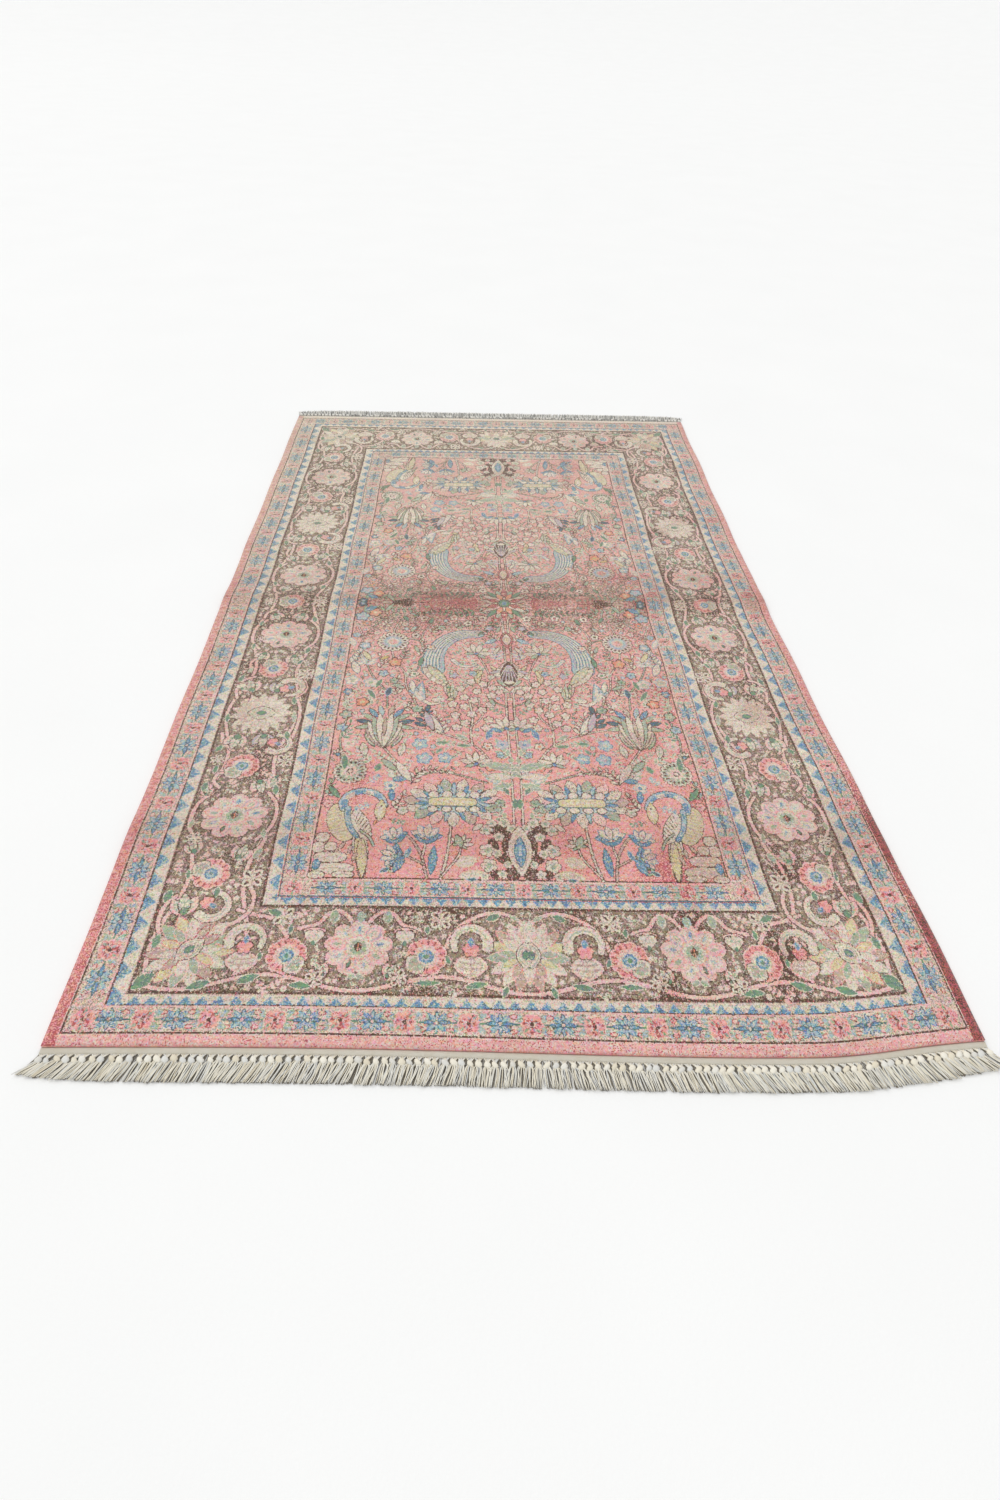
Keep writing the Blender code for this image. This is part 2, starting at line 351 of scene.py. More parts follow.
# %% The frames of the borders
FRAMES = (  # side, end, ground, line, inner line, their widths in mm
    (0.0, 0.0, "r", "r", "r", 1.3, 1.3),
    (16.5, 15.0, "c", "u", "p", 2.6, 1.3),
    (58.5, 53.0, "c", "u", "p", 2.6, 2.6),
    (81.0, 70.0, "t", "u", "a", 4.0, 1.3),
    (226.0, 206.5, "c", "u", "u", 2.6, 1.3),
    (248.5, 223.5, "c", "n", "m", 2.0, 1.3),
    (286.5, 256.0, "r", "u", "p", 2.6, 2.6),
)

for side, end, ground, line, inner, line_width, inner_width in FRAMES:
    for inset, yarn in ((-inner_width, inner), (0, line), (line_width, ground)):
        first_row = np.searchsorted(chart.v, end + inset)
        first_column = np.searchsorted(chart.u, side + inset)
        chart.yarn[first_row:, first_column:] = CODE[yarn]
print(len(FRAMES), "frames, the main border", FRAMES[4][0] - FRAMES[3][0], "mm wide on the sides")

# %% [markdown]
# A row of triangles is a saw: the share of a pitch away from a tooth's middle, against the share of its
# height. The outer row points in and the inner row out, both blue on cream, and the sides' are larger.

# %% The rows of triangles
TOOTH = {"base": 0.8, "body": 0.98, "hem": 1.12, "foot": 0.4}     # shares of the pitch and of the tooth


def teeth(base_side, base_end, inward, side_pitch, end_pitch, side_height, end_height):
    """Blue teeth on the sides and the end of one frame. A knot is in a tooth where its distance from the
    tooth's middle, over half the base, plus its share of the height is below 1. Every third tooth is sky, and
    each has a hem of sky."""
    u, v = chart.u[None, :], chart.v[:, None]
    for run, depth, pitch, height, reach in (
            (v, (u - base_side) * inward, side_pitch, side_height, v > base_end - 2),
            (u, (v - base_end) * inward, end_pitch, end_height, u > base_side - 2)):
        centre = HALF_LENGTH if run is v else HALF_WIDTH
        off = np.abs((run - centre) / pitch + 0.5 - np.floor((run - centre) / pitch + 0.5) - 0.5) * 2
        in_row = (depth > 0) & (depth < height) & reach
        height_share = np.where(in_row, off / TOOTH["base"] + depth / height, 9)
        pale = np.floor((run - centre) / pitch) % 3 == 1
        chart.yarn[height_share < TOOTH["hem"]] = CODE["k"]
        blue = ~pale | (depth < TOOTH["foot"] * height)
        chart.yarn[(height_share < TOOTH["body"]) & blue] = CODE["b"]


TEETH = (  # base of the side's row and the end's, their way, pitch on side and end, height on side and end
    (61.5, 54.8, 1, 37.0, 21.5, 16.0, 11.5),
    (247.0, 221.5, -1, 37.0, 20.5, 16.0, 11.0),
)
for sizes in TEETH:
    teeth(*sizes)
print(len(TEETH), "rows of triangles")

# %% [markdown]
# The guards are chains: blue star flowers and rose flowers take turns on one stem, with buds and leaves on
# both sides between them. One function draws a link at any place and bearing, for the sides and the ends.

# %% The flower guards
def star_flower(u, v, size, turn):
    """Eight blue and sky leaves about a cream heart."""
    for bearing, length, yarns in entries("""90 1.05 nk, 270 1.05 nk, 45 1.15 bk, 135 1.15 bk, 225 1.15 bk,
                                          315 1.15 bk, 0 1.35 nb, 180 1.35 nb"""):
        leaf(u, v, size * length, 0.46 * size, turn + bearing, yarns)
    patch(u, v, 2.4, 2.4, "nc")


def rose_flower(u, v, size, turn):
    """Rose petals edged with pink, deeper towards a lilac heart, with two leaf tips of sage."""
    bloom(u, v, size, ((1, 8, 0.2, 0.6, "pr"), (0.84, 8, 0.25, 0.6, "rrm"), (0.62, 16, 0.4, 0.8, "mrl"),
                       (0.36, 5, 0.2, 1, "pm"), (0.18, 1, 0, 1, "u")), turn)
    for side in (-45, 135):
        leaf(*moved((u, v), turn + side, 0.5 * size), 0.5 * size, 4, turn + side, "sg")


def link(u, v, turn, half_band, half_pitch, flower):
    """A flower and the stem, leaves and buds that lead to the next."""
    ahead, beside = toward(turn)
    at = np.array((u, v))
    star = flower is star_flower
    for way in (1, -1):
        facing = turn + 90 - 90 * way
        stroke((at, at + way * half_pitch * ahead), 2.6, "n" if star else "g")
        for side in (1, -1):
            foot = at + way * (0.3 if star else 0.62) * half_pitch * ahead + side * 1.5 * beside
            leaf(*foot, 0.95 * half_band, 6, facing + side * way * 52, "sk")
            bud = at + way * 0.86 * half_pitch * ahead + side * 0.58 * half_band * beside
            leaf(*(bud - 5.5 * way * ahead), 11, 7.5, facing, "mp" if star else "sk")
    flower(u, v, 0.88 * half_band, turn)


def guard(side_centre, end_centre, half_side, half_end, side_pitch, end_pitch, first_star):
    """Links up the side and along the end, worked out from the middle of each so that they mirror."""
    up_the_side = np.arange(HALF_LENGTH - 0.5 * side_pitch * first_star, end_centre + 25, -0.5 * side_pitch)
    for number, v in enumerate(up_the_side):
        flower = (star_flower, rose_flower)[(number + first_star) % 2]
        link(side_centre, v, 0, half_side, 0.25 * side_pitch, flower)
    for number, u in enumerate(np.arange(HALF_WIDTH, side_centre + 25, -0.5 * end_pitch)):
        link(u, end_centre, 90, half_end, 0.25 * end_pitch, (rose_flower, star_flower)[number % 2])
    rose_flower(side_centre, end_centre, 0.95 * half_end, 45)


guard(38.5, 34.5, 19, 17, 90, 83, 1)
guard(267.8, 240, 17, 14.5, 88, 84, 0)
print("guard links drawn")

# %% [markdown]
# The main border has a taupe ground. Pink vines outlined in umber wave along both its sides, and they open
# round each palmette and close in round each small pink flower. Tulips and curled petals sit on them. First
# come the flowers as functions, because each kind is drawn many times.

# %% The flowers of the main border
def round_flower(u, v, size, turn):
    """A round pink flower with a blue heart in a pale ring, its cream underside turned over on one side."""
    bloom(u, v, size, ((1, 9, 0.12, 0.6, "u"), (0.96, 9, 0.12, 0.6, "p"), (0.88, 9, 0.16, 0.6, "r"),
                       (0.86, 45, 0.12, 1, "rrm"), (0.6, 9, 0.14, 0.6, "p")), turn)
    foot = moved((u, v), turn, 0.12 * size)
    leaf(*foot, 0.98 * size, 1.1 * size, turn, "uc")
    leaf(*foot, 0.86 * size, 0.8 * size, turn, "csa", 0, 4)
    bloom(u, v, 0.44 * size, ((1, 7, 0.1, 0.6, "c"), (0.78, 7, 0.1, 0.6, "b"), (0.5, 7, 0.2, 0.6, "k"),
                              (0.25, 1, 0, 1, "g")), turn)


def petals(u, v, size, turn, count, near_end, far_end, width, yarns, squash=1.0):
    """A ring of long petals, each a leaf from one share of the size to another, their yarns taking turns."""
    for number, bearing in enumerate(turn + np.arange(count) * 360 / count):
        ahead, _ = toward(bearing)
        foot = np.array((u, v)) + near_end * size * ahead * (squash, 1)
        reach = np.hypot(*((far_end - near_end) * size * ahead * (squash, 1)))
        leaf(*foot, reach, width * size, bearing, yarns[number % len(yarns)])


def cream_palmette(u, v, size, turn, yarns, squash=1.0, eye=0.34):
    """A wide palmette of two rings of long narrow petals round a pointed eye."""
    bloom(u, v, 0.86 * size, ((1, 15, 0.2, 0.6, "u"), (0.97, 15, 0.2, 0.6, "p")), turn, squash)
    petals(u, v, size, turn, 15, 0.2, 1.02, 0.34, yarns, squash)
    petals(u, v, size, turn + 12, 11, 0.2, 0.72, 0.24, yarns[::-1], squash)
    back = moved((u, v), turn, -eye * size)
    leaves = ((1.12, -0.06, "uc"), (0.86, 0.07, "sc"), (0.6, 0.2, "ac"), (0.42, 0.29, "ng"))
    for share, inset, pair in leaves:
        foot = moved(back, turn, 2 * inset * eye * size)
        leaf(*foot, 2 * share * eye * size, 1.36 * share * eye * size, turn, pair)


def lobed_palmette(u, v, size, turn, squash=1.1):
    """A palmette of nine lilac and pink lobes, most with a blue spot, round a brown eye in a cream ring."""
    bloom(u, v, size, ((1, 9, 0.22, 0.6, "u"), (0.97, 9, 0.22, 0.6, "p"), (0.86, 9, 0.26, 0.6, "plpc")),
          turn, squash)
    petals(u, v, size, turn, 9, 0.3, 0.92, 0.4, ("pc", "lp", "pc", "rp"), squash)
    spots = ("kb", "sc", "lb", "ss", "ck", "ug", "lk", "cs", "ck")
    petals(u, v, size, turn, 9, 0.48, 0.76, 0.15, spots, squash)
    bloom(u, v, 0.46 * size, ((1, 9, 0.3, 0.8, "r"), (0.88, 9, 0.2, 0.6, "c"), (0.6, 9, 0.2, 0.6, "s")), turn)
    leaf(*moved((u, v), turn, -0.15 * size), 0.34 * size, 0.26 * size, turn, "uuo")


def tulip(u, v, size, turn, sides="p"):
    """A cream tulip on a green cup: two outer petals edged with pink, and a ribbed middle one."""
    for spread in (-30, 30):
        leaf(u, v, size, 0.62 * size, turn + spread, "u" + sides)
        leaf(u, v, 0.88 * size, 0.46 * size, turn + 0.8 * spread, sides + "cs", 0, 3)
    leaf(u, v, 1.12 * size, 0.52 * size, turn, "ucs", 0, 4)
    leaf(u, v, 0.42 * size, 0.4 * size, turn, "ug")


def heart_tulip(u, v, size, turn):
    """A cream heart: two round shoulders over one point, with a pink brim and a small green cup."""
    ahead, beside = toward(turn)
    at = np.array((u, v))
    brim = [at + size * (0.62 * across * beside + (0.42 - 0.12 * across ** 2) * ahead)
            for across in (-1, -0.4, 0.4, 1)]
    stroke(brim, 5, "up")
    for side in (-1, 1):
        patch(*(at + side * 0.3 * size * beside), 0.34 * size, 0.34 * size, "uc", turn)
    leaf(*(at - 0.66 * size * ahead), 1.05 * size, size, turn, "cc")
    dots(*at, 0.5 * size, 0.36 * size, "s", 4.4, turn)
    patch(*(at - 0.62 * size * ahead), 3, 4, "g", turn)


def curled_petal(u, v, size, turn, way, bulb=1.0):
    """A thick cream petal arched over a lilac eye, and below it a cream bulb in a pink cup."""
    at = np.array((u, v))
    stroke(arc(at, 0.82 * size, turn - 105 * way, turn + 115 * way), 0.52 * size, "uc", 0.45)
    stroke(arc(at, 0.96 * size, turn - 95 * way, turn + 80 * way), 1.3, "p")
    stroke(arc(at, 0.76 * size, turn - 70 * way, turn + 80 * way), 1.3, "s")
    foot = moved(at, turn, -0.55 * size)
    leaf(*moved(foot, turn, -1.25 * bulb * size), 1.3 * bulb * size, 1.65 * bulb * size, turn, "up")
    leaf(*moved(foot, turn, -1.12 * bulb * size), 1.1 * bulb * size, 1.35 * bulb * size, turn, "cca", 0, 4)
    cup = ((1, 5, 0.3, 0.7, "u"), (0.86, 5, 0.3, 0.7, "r"))
    bloom(*moved(at, turn, -0.34 * size), 0.46 * size, cup, turn)
    leaf(*moved(at, turn, -0.2 * size), 0.52 * size, 0.36 * size, turn, "lb")


def cross_flower(u, v, size, turn):
    """Four cream petals, each round an umber slit, about an umber cross."""
    for bearing in np.arange(turn, turn + 360, 90):
        foot = moved((u, v), bearing, 0.16 * size)
        leaf(*foot, 0.86 * size, 0.84 * size, bearing, "uc")
        leaf(*moved(foot, bearing, 0.12 * size), 0.5 * size, 0.24 * size, bearing, "uu")
    for bearing in np.arange(turn + 45, turn + 405, 90):
        leaf(u, v, 0.95 * size, 0.3 * size, bearing, "ca")


print("seven kinds of border flower ready")

# %% [markdown]
# Now they are placed. Vines run along each band, and their opening swells and closes by a cosine once for
# each palmette, so that the curves meet the flowers. Shorter arches branch off them and hold the tulips.

# %% The vines and flowers of the main border
SIDE_CENTRE = 154.0
END_CENTRE = 137.0
SIDE_PITCH = 246.0      # from one palmette of a side to the next
END_PITCH = 236.0
VINE = 6.0

SIDE_OPENING = (52, 12)     # half the vines' mean opening, and how far it swells
END_OPENING = (50, 11)
END_PALMETTE = 372

run = np.arange(92, HALF_LENGTH + 12, 12)
opening = SIDE_OPENING[0] + SIDE_OPENING[1] * np.cos(2 * np.pi * (run - END_CENTRE) / SIDE_PITCH)
for way in (-1, 1):
    stroke(np.stack((SIDE_CENTRE + way * opening, run), 1), VINE, "up")
run = np.arange(100, HALF_WIDTH + 12, 12)
opening = END_OPENING[0] + END_OPENING[1] * np.cos(2 * np.pi * (run - END_PALMETTE) / END_PITCH)
stroke(np.stack((run, END_CENTRE - opening), 1), VINE, "up")

# The points of the vines that arch over and beside the flowers
ARCHES = entries("""
    196 200 222 192 246 186 262 170 272 156, 286 170 312 178 324 194 338 200 352 192 362 178,
    382 178 392 192 406 200 420 194 432 178 456 170,
    492 138 502 162 520 182 548 197 576 199 598 188 606 176, 176 170 196 180 212 198 214 224 202 246,
    98 156 90 180 92 206 104 224, 108 328 92 350 88 378 92 406 108 428,
    198 328 214 350 219 378 214 406 198 428, 108 822 92 844 88 872 92 900 108 922,
    198 822 214 844 219 872 214 900 198 922, 116 440 104 452 106 470 118 474,
    186 524 206 540 216 566 220 600 218 640 206 672, 120 528 100 546 92 572, 98 668 92 694 100 722 118 732,
    206 672 220 694 214 720, 112 792 102 778 104 760, 190 300 206 312 212 330, 118 960 104 948 100 930
    """)
for path in ARCHES:
    stroke(path, VINE, "up")

for v in (378, 872):
    lobed_palmette(SIDE_CENTRE, v, 49, 0)
cream_palmette(SIDE_CENTRE - 3, 627, 56, 90, ("pc", "ac", "cc", "ac"), 0.98, 0.42)
lobed_palmette(END_PALMETTE, 141, 45, 0)
cream_palmette(606, 133, 55, 0, ("pc", "ps", "sy", "ra", "pc"))
cream_palmette(144, 136, 60, 45, ("pc", "ps", "ry", "sc", "ma"))
FLOWERS = {  # kind: its u, v, size, turn and what else it takes
    round_flower: """144 264 30 300, 142 490 31 220, 148 758 30 330, 149 990 28 250, 276 127 30 140,
        467 128 31 230""",
    tulip: """122 190 36 350, 176 288 30 20, 176 460 32 160, 122 570 36 190, 166 572 34 180 l,
        122 686 36 340, 166 684 34 10 l, 180 806 32 170, 124 812 28 200, 180 950 32 200, 118 948 28 150,
        112 300 26 340, 330 94 24 330, 414 94 24 30, 206 470 22 200, 100 420 20 350""",
    heart_tulip: "309 160 21 0, 436 161 21 0, 98 705 15 340",
    curled_petal: """158 208 27 120 -1 0.1, 192 546 26 110 -1 0.1, 190 700 28 70 1 0.1, 217 150 28 0 1,
        529 150 30 0 -1""",
    cross_flower: """206 256 20 40, 212 742 20 45, 262 190 19 45, 486 187 19 45, 211 504 18 45,
        104 330 14 20, 206 985 18 40, 98 505 14 20, 430 96 15 30, 318 92 15 30, 100 990 15 20,
        106 855 10 0""",
}
flowers = sum(each(kind, table) for kind, table in FLOWERS.items())

# u, v, length, width, turn, and the yarns where they aren't cream and green
leaves = each(leaf, """
    84 76 34 21 45, 90 212 24 15 10, 98 160 24 12 190 sg, 184 88 34 14 250, 214 86 34 14 70,
    160 240 18 12 180, 92 524 20 12 20, 94 600 26 10 355, 92 350 20 9 0 cs, 90 430 24 12 10,
    210 424 24 12 350, 206 350 20 10 170 cs, 214 600 34 10 350 cs, 206 650 24 11 350, 96 740 26 12 190,
    204 580 26 11 170, 96 820 22 9 0, 207 830 24 12 190, 96 900 22 10 10, 207 915 24 12 350,
    334 178 24 15 0 cs, 410 178 24 15 0 cs, 372 180 20 13 0 ks, 520 84 34 12 80, 450 88 40 10 88,
    550 188 24 13 70, 284 84 34 12 95, 275 160 18 9 0, 467 162 16 9 0, 238 200 24 13 110, 580 88 20 10 200,
    240 118 16 9 0, 500 116 16 9 340, 360 92 16 9 60 cs, 386 92 16 9 300 cs, 585 196 18 10 120 cs,
    200 292 22 12 30 cs, 110 272 20 9 170, 108 760 18 9 200 cs, 190 770 20 10 30, 110 988 20 9 10,
    186 990 20 9 340, 196 440 18 9 30 cs, 100 470 24 10 0
    """)
print("main border drawn, with", flowers, "flowers and", leaves, "leaves")

# %% [markdown]
# The field is a garden seen at once: a bird on rocks in each corner, cloud-shaped palmettes beside a dark
# vase, a fan palmette, a small tree full of florets, a bird of paradise with a long curved tail, and a leafy
# medallion at the centre. Stems and leafy fronds are drawn first, so that flowers and birds lie over them.

# %% Stems and fronds of the field
# Width, yarns, points
STEMS = entries("""
    2.6 uc 603 366 602 430 603 500 602 560 603 640 602 700, 2.4 uc 604 775 603 830 605 880 604 930,
    3.2 uc 485 258 494 296 499 340 500 390, 2.2 uc 486 262 502 284 514 304 518 326,
    3 ua 464 258 458 290 450 312 436 334 424 344, 2.6 uc 456 296 460 318 462 340,
    2.2 ua 460 284 438 296 424 304, 2.4 uc 602 470 572 500 544 540 504 566 452 584 405 592,
    2 uc 432 455 420 480 402 505 384 530 378 540, 2 us 440 470 480 480 520 470 560 455,
    2.6 uc 536 545 534 580 538 620 532 664, 1.8 uc 536 596 552 616 564 648, 1.8 uc 535 588 518 604 508 634,
    1.8 uc 538 620 550 646 550 676, 2 us 294 440 308 500 300 560 306 620 296 680,
    2 us 378 645 372 690 352 720 332 760 322 800, 2 uc 374 816 382 784 402 750 410 704 426 670 436 640,
    2 uc 374 884 380 912 394 942 384 978, 2 us 406 862 430 850 438 812 430 770 420 745,
    2 uc 430 852 440 892 470 930 520 950 562 942, 2 uc 560 700 572 730 562 772 548 806,
    2 us 602 650 580 664 572 692 580 722, 1.8 uc 300 900 312 862 306 824 318 782,
    1.8 us 330 900 346 930 332 966 346 990, 1.8 uc 470 930 450 960 462 990, 1.8 uc 520 950 540 974 530 990
    """)
for width, yarns, *path in STEMS:
    stroke(path, width, yarns)
# Pitch, leaf length, leaf width, yarns, points
FRONDS = entries("""
    11 20 9 sc 408 462 398 486 384 508 366 524, 10 17 8 cs 360 500 344 514 336 530,
    11 18 8 uc 430 450 440 476 462 486 490 480, 10 16 8 cs 600 440 580 452 560 470,
    12 24 11 cs 603 462 600 480 602 500, 12 22 10 cs 602 514 590 528 584 548,
    10 15 7 cs 466 556 490 552 524 546, 11 18 8 uc 520 500 540 506 562 500,
    12 26 12 un 452 588 448 610 452 634, 11 22 9 uc 486 572 478 600 470 624,
    10 16 8 cg 300 560 312 576 314 600, 10 16 8 uc 404 640 420 650 424 672,
    10 17 8 cs 296 640 306 656 302 680, 10 15 7 cs 350 650 340 664 338 684,
    11 18 8 uc 396 680 388 704 392 730, 11 19 8 cs 408 730 416 752 410 776,
    12 26 11 nc 296 770 306 788 310 812, 11 24 10 kc 322 770 330 792 322 812,
    11 18 8 uc 350 760 360 780 352 800, 10 16 7 us 395 790 402 812 396 834,
    11 17 8 uc 428 800 440 826 436 852, 10 16 7 ua 412 880 424 900 420 926,
    11 18 8 uc 450 880 462 900 484 912, 10 17 8 us 500 900 520 912 544 910,
    11 18 8 uc 560 894 580 902 592 920, 10 16 7 ua 300 866 318 872 330 890,
    11 18 8 uc 350 900 360 920 356 946, 10 16 7 us 400 950 418 958 436 956,
    11 18 8 uc 480 962 500 972 518 970, 10 16 7 us 550 960 566 962 584 956,
    11 20 9 kc 582 790 588 812 584 836, 10 16 8 cs 560 750 548 764 540 782,
    11 18 8 uc 592 850 584 866 572 878, 10 16 8 cs 525 700 520 720 524 742,
    10 17 8 uc 400 396 412 408 418 426, 10 16 8 us 292 420 300 436 296 452,
    10 16 8 cs 590 372 578 388 584 404, 10 15 7 us 400 270 410 278 414 292
    """)
for pitch, length, width, yarns, *path in FRONDS:
    frond(path, pitch, length, width, yarns)
print(len(STEMS), "stems and", len(FRONDS), "fronds")

# %% [markdown]
# Each bird is built as a weaver would plan it, from the back forward: tail, body, neck, head and wing, in
# flat shapes with dark outlines. Thin pale ribs drawn between two curves stand for the feathers.

# %% Birds and rocks
def ribs(path_a, path_b, count, width, yarn):
    """Thin lines between two smooth paths, at even shares of both."""
    a, b = smooth(path_a), smooth(path_b)
    for share in np.linspace(0, 0.999, count):
        stroke((a[int(share * len(a))], b[int(share * len(b))]), width, yarn)


def corner_bird():
    """A cream bird that bends its blue neck back over its straw body, with a folded wing, a yellow head that
    points down, and a speckled tail."""
    each(leaf, "346 340 82 18 162 uc, 366 334 76 18 182 uc, 352 340 84 18 168 uy, 360 338 82 18 175 uy")
    stroke(((352, 344), (362, 322), (370, 298), (374, 272)), 2, "a")
    dots(366, 296, 13, 36, "u", 6.5, 170)
    for u, v, turn in entries("336 326 210, 322 318 170, 346 320 190, 356 306 200"):
        leaf(u, v, 20, 8, turn, "ua")
        dots(u, v - 10, 7, 9, "c", 4.5)
    patch(325, 366, 22, 41, "uy", 162)
    ribs(((300, 388), (299, 368), (308, 346), (326, 330)), ((324, 398), (332, 378), (338, 356), (344, 338)),
         12, 1.2, "c")
    ribs(((300, 380), (302, 360), (314, 340)), ((322, 388), (332, 368), (338, 350)), 7, 1, "a")
    neck = ((325, 396), (322, 410), (330, 426), (350, 434), (370, 430), (384, 418), (390, 402))
    stroke(neck, 14, "uk", 0.3)
    for width, yarn, *path in entries("""10 b 325 398 324 410, 9 c 328 418 336 427, 9 b 342 430 352 432,
                                      8 c 360 431 366 429, 6 b 374 425 380 420"""):
        stroke(path, width, yarn)
    each(leaf, "384 416 50 21 180 uy, 384 410 34 11 180 yc, 381 376 20 6 196 uo")
    patch(385, 402, 1.9, 1.9, "u")
    leaf(344, 396, 76, 34, 156, "uc", 0.08)
    ribs(((350, 386), (364, 370), (374, 348)), ((346, 368), (356, 352), (368, 338)), 7, 1.3, "u")
    stroke(((331, 396), (333, 376), (340, 354), (352, 336)), 8, "nk", 0.2)
    for path in entries("331 392 332 382, 337 362 341 352, 347 342 352 336"):
        stroke(path, 5, "b")
    stroke(((356, 348), (372, 334), (380, 318)), 3, "us")


def rocks():
    """Low cream rocks, each a rounded block with an umber edge and a vein of almond."""
    for u, v, half_u, half_v in entries("""300 334 10 9, 296 314 9 10, 314 316 9 8, 316 296 25 9,
                                        322 275 31 10, 298 263 12 6, 338 264 16 5"""):
        patch(u, v, half_u, half_v, "uc", 0, 2.6)
        stroke(((u - 0.6 * half_u, v - 2), (u, v + 1.5), (u + 0.6 * half_u, v - 2)), 1.2, "a")
    patch(296, 282, 5, 9, "nb")


def paradise_bird():
    """A bird of paradise: a long striped tail in a wide arc, a lattice wing, a straw body, a pale breast."""
    tail = np.reshape((458.0, 762, 458, 796, 468, 832, 488, 860, 516, 876, 552, 880), (-1, 2))
    stroke(tail, 46, "nk", 0.5)
    inward = np.array((548, 780)) - tail
    inward = inward / np.hypot(*inward.T)[:, None] * np.linspace(1, 0.52, len(tail))[:, None]
    for number, yarn in enumerate("cncncncncnl"):
        stroke(tail + (3.5 * number - 18) * inward, 1.2 if yarn == "n" else 2.4, yarn)
    stroke(((498, 790), (512, 774), (530, 770), (544, 776)), 9, "nc", 0.5)
    stroke(((500, 788), (514, 775), (530, 772)), 3, "k", 0.3)
    for feather in entries("""480 722 62 15 160 uca, 488 722 66 14 168 uyg, 498 720 60 13 176 ucs,
                           507 712 44 11 186 uys, 436 768 78 26 140 uca, 446 774 74 22 144 uys"""):
        leaf(*feather, 0, 5)
    ribs(((442, 752), (462, 726), (482, 704)), ((452, 768), (472, 744), (492, 716)), 9, 1.2, "c")
    dots(466, 738, 12, 26, "m", 9, 142)
    each(leaf, """547 714 48 15 2 uyo, 531 712 20 12 10 nb, 440 722 60 20 172 nk 0.12,
         440 716 44 10 172 kc 0.12""")
    stroke(((446, 664), (460, 656), (474, 660)), 8, "uc", 0.2)
    patch(470, 668, 10, 6, "uc")
    leaf(486, 668, 18, 9, 80, "uy")
    leaf(428, 700, 26, 12, 330, "nk")


corner_bird()
rocks()
paradise_bird()
print("birds and rocks drawn")

# %% [markdown]
# The field's flowers are shown in section, as such rugs have them: a rim of lobes or points, a body of ribs
# or narrow petals, and an eye.

# %% Palmettes of the field
def ribbed_rosette(u, v, size, yarns):
    """A rosette of many narrow ribs inside a scalloped rim, each rib parted from the next by umber."""
    bloom(u, v, size, ((1, 18, 0.12, 0.7, "u"), (0.95, 18, 0.14, 0.7, "c"),
                       (0.82, 36, 0.12, 0.8, "u" + yarns[1]), (0.6, 18, 0.2, 0.8, yarns),
                       (0.4, 18, 0.04, 1, "pc"), (0.2, 1, 0, 1, "u"), (0.13, 1, 0, 1, "c")))


def cloud_palmette(u, v):
    """A wide cloud: dotted cream lobes round a straw bar, with sky and blue horns between them."""
    patch(u, v, 60, 30, "k", 0, 2.4)
    for bearing in np.arange(12, 372, 24):
        ahead, _ = toward(bearing)
        at = np.array((u, v)) + (66, 35) * ahead
        leaf(*moved(at, bearing, -15), 34, 22, bearing, ("uc", "ua", "uc", "us", "up")[int(bearing) % 5])
        dots(*moved(at, bearing, 3), 7, 10, "u", 4.6, bearing)
        dots(*at, 6, 10, "a", 4, bearing + 40, 2)
    for bearing in np.arange(0, 360, 24):
        ahead, _ = toward(bearing)
        foot = np.array((u, v)) + (40, 13) * ahead
        turn = bearing + 10 * math.sin(bearing)
        leaf(*foot, 34 - 8 * abs(ahead[0]), 9, turn, "nb" if bearing % 48 else "nk")
    for across in (-34, -11, 12, 35):
        patch(u + across, v + 17, 8, 7, "uc")
        patch(u + across, v - 15, 8, 6, "uc")
    patch(u - 2, v + 1, 40, 9, "ny", 0, 4)
    patch(u - 2, v + 1, 32, 2.6, "c", 0, 4)
    dots(u - 2, v + 1, 32, 5, "w", 5, 0, 2)


def vase():
    """A dark vase on the centre line: umber pieces, cream scroll flowers, and a long blue drop."""
    for *block, turn in entries("""578 352 20 12 10, 568 322 8 14 340, 590 326 9 26 0, 584 296 15 9 30,
                                596 270 13 12 0, 570 268 9 9 0"""):
        patch(*block, "u", turn, 2.2)
    scroll = ((1, 5, 0.3, 0.6, "u"), (0.9, 5, 0.35, 0.6, "c"), (0.4, 5, 0.3, 0.6, "s"))
    for u, v, size, turn in entries("""
            558 312 14 20, 560 284 14 50, 577 338 10 0, 556 352 12 10, 573 306 9 40, 586 368 11 30,
            590 286 8 0, 580 268 9 0, 598 356 10 30, 566 366 9 0, 552 264 9 0, 592 308 6 0"""):
        bloom(u, v, size, scroll, turn)
        dots(u, v, 0.6 * size, 0.6 * size, "u", 5.5, turn)
    leaf(610, 264, 98, 40, 0, "uc")
    dots(610, 313, 15, 40, "a", 5)
    leaf(610, 274, 76, 27, 0, "ac")
    leaf(610, 280, 60, 20, 0, "nb")
    leaf(610, 292, 34, 8, 0, "bk")


def fan_palmette(u, v):
    """A tall body of narrow cream petals from one foot, in a crown of dark and blue points, with long
    leaves beside it."""
    for turn, yarns in entries("-100 us, -78 un, -56 us, -36 ub, -14 uk, 14 ua, 36 ub, 56 us, 78 un, 100 us"):
        leaf(*moved((u, v), turn, 22), 34, 13, turn, yarns)
    for side in (-1, 1):
        leaf(u + 14 * side, v - 60, 50, 17, 24 * side, "ug")
        leaf(u + 18 * side, v - 54, 36, 9, 24 * side, "cs")
        leaf(u + 30 * side, v - 82, 36, 16, 10 * side, "ucs")
    for spread, length, yarns in entries("33 62 ua, 24 78 uc, 15 90 us, 7 96 uc"):
        for side in (-spread, spread):
            leaf(u, v - 62, length, 19, side, yarns)
    leaf(u, v - 34, 60, 9, 0, "ua")


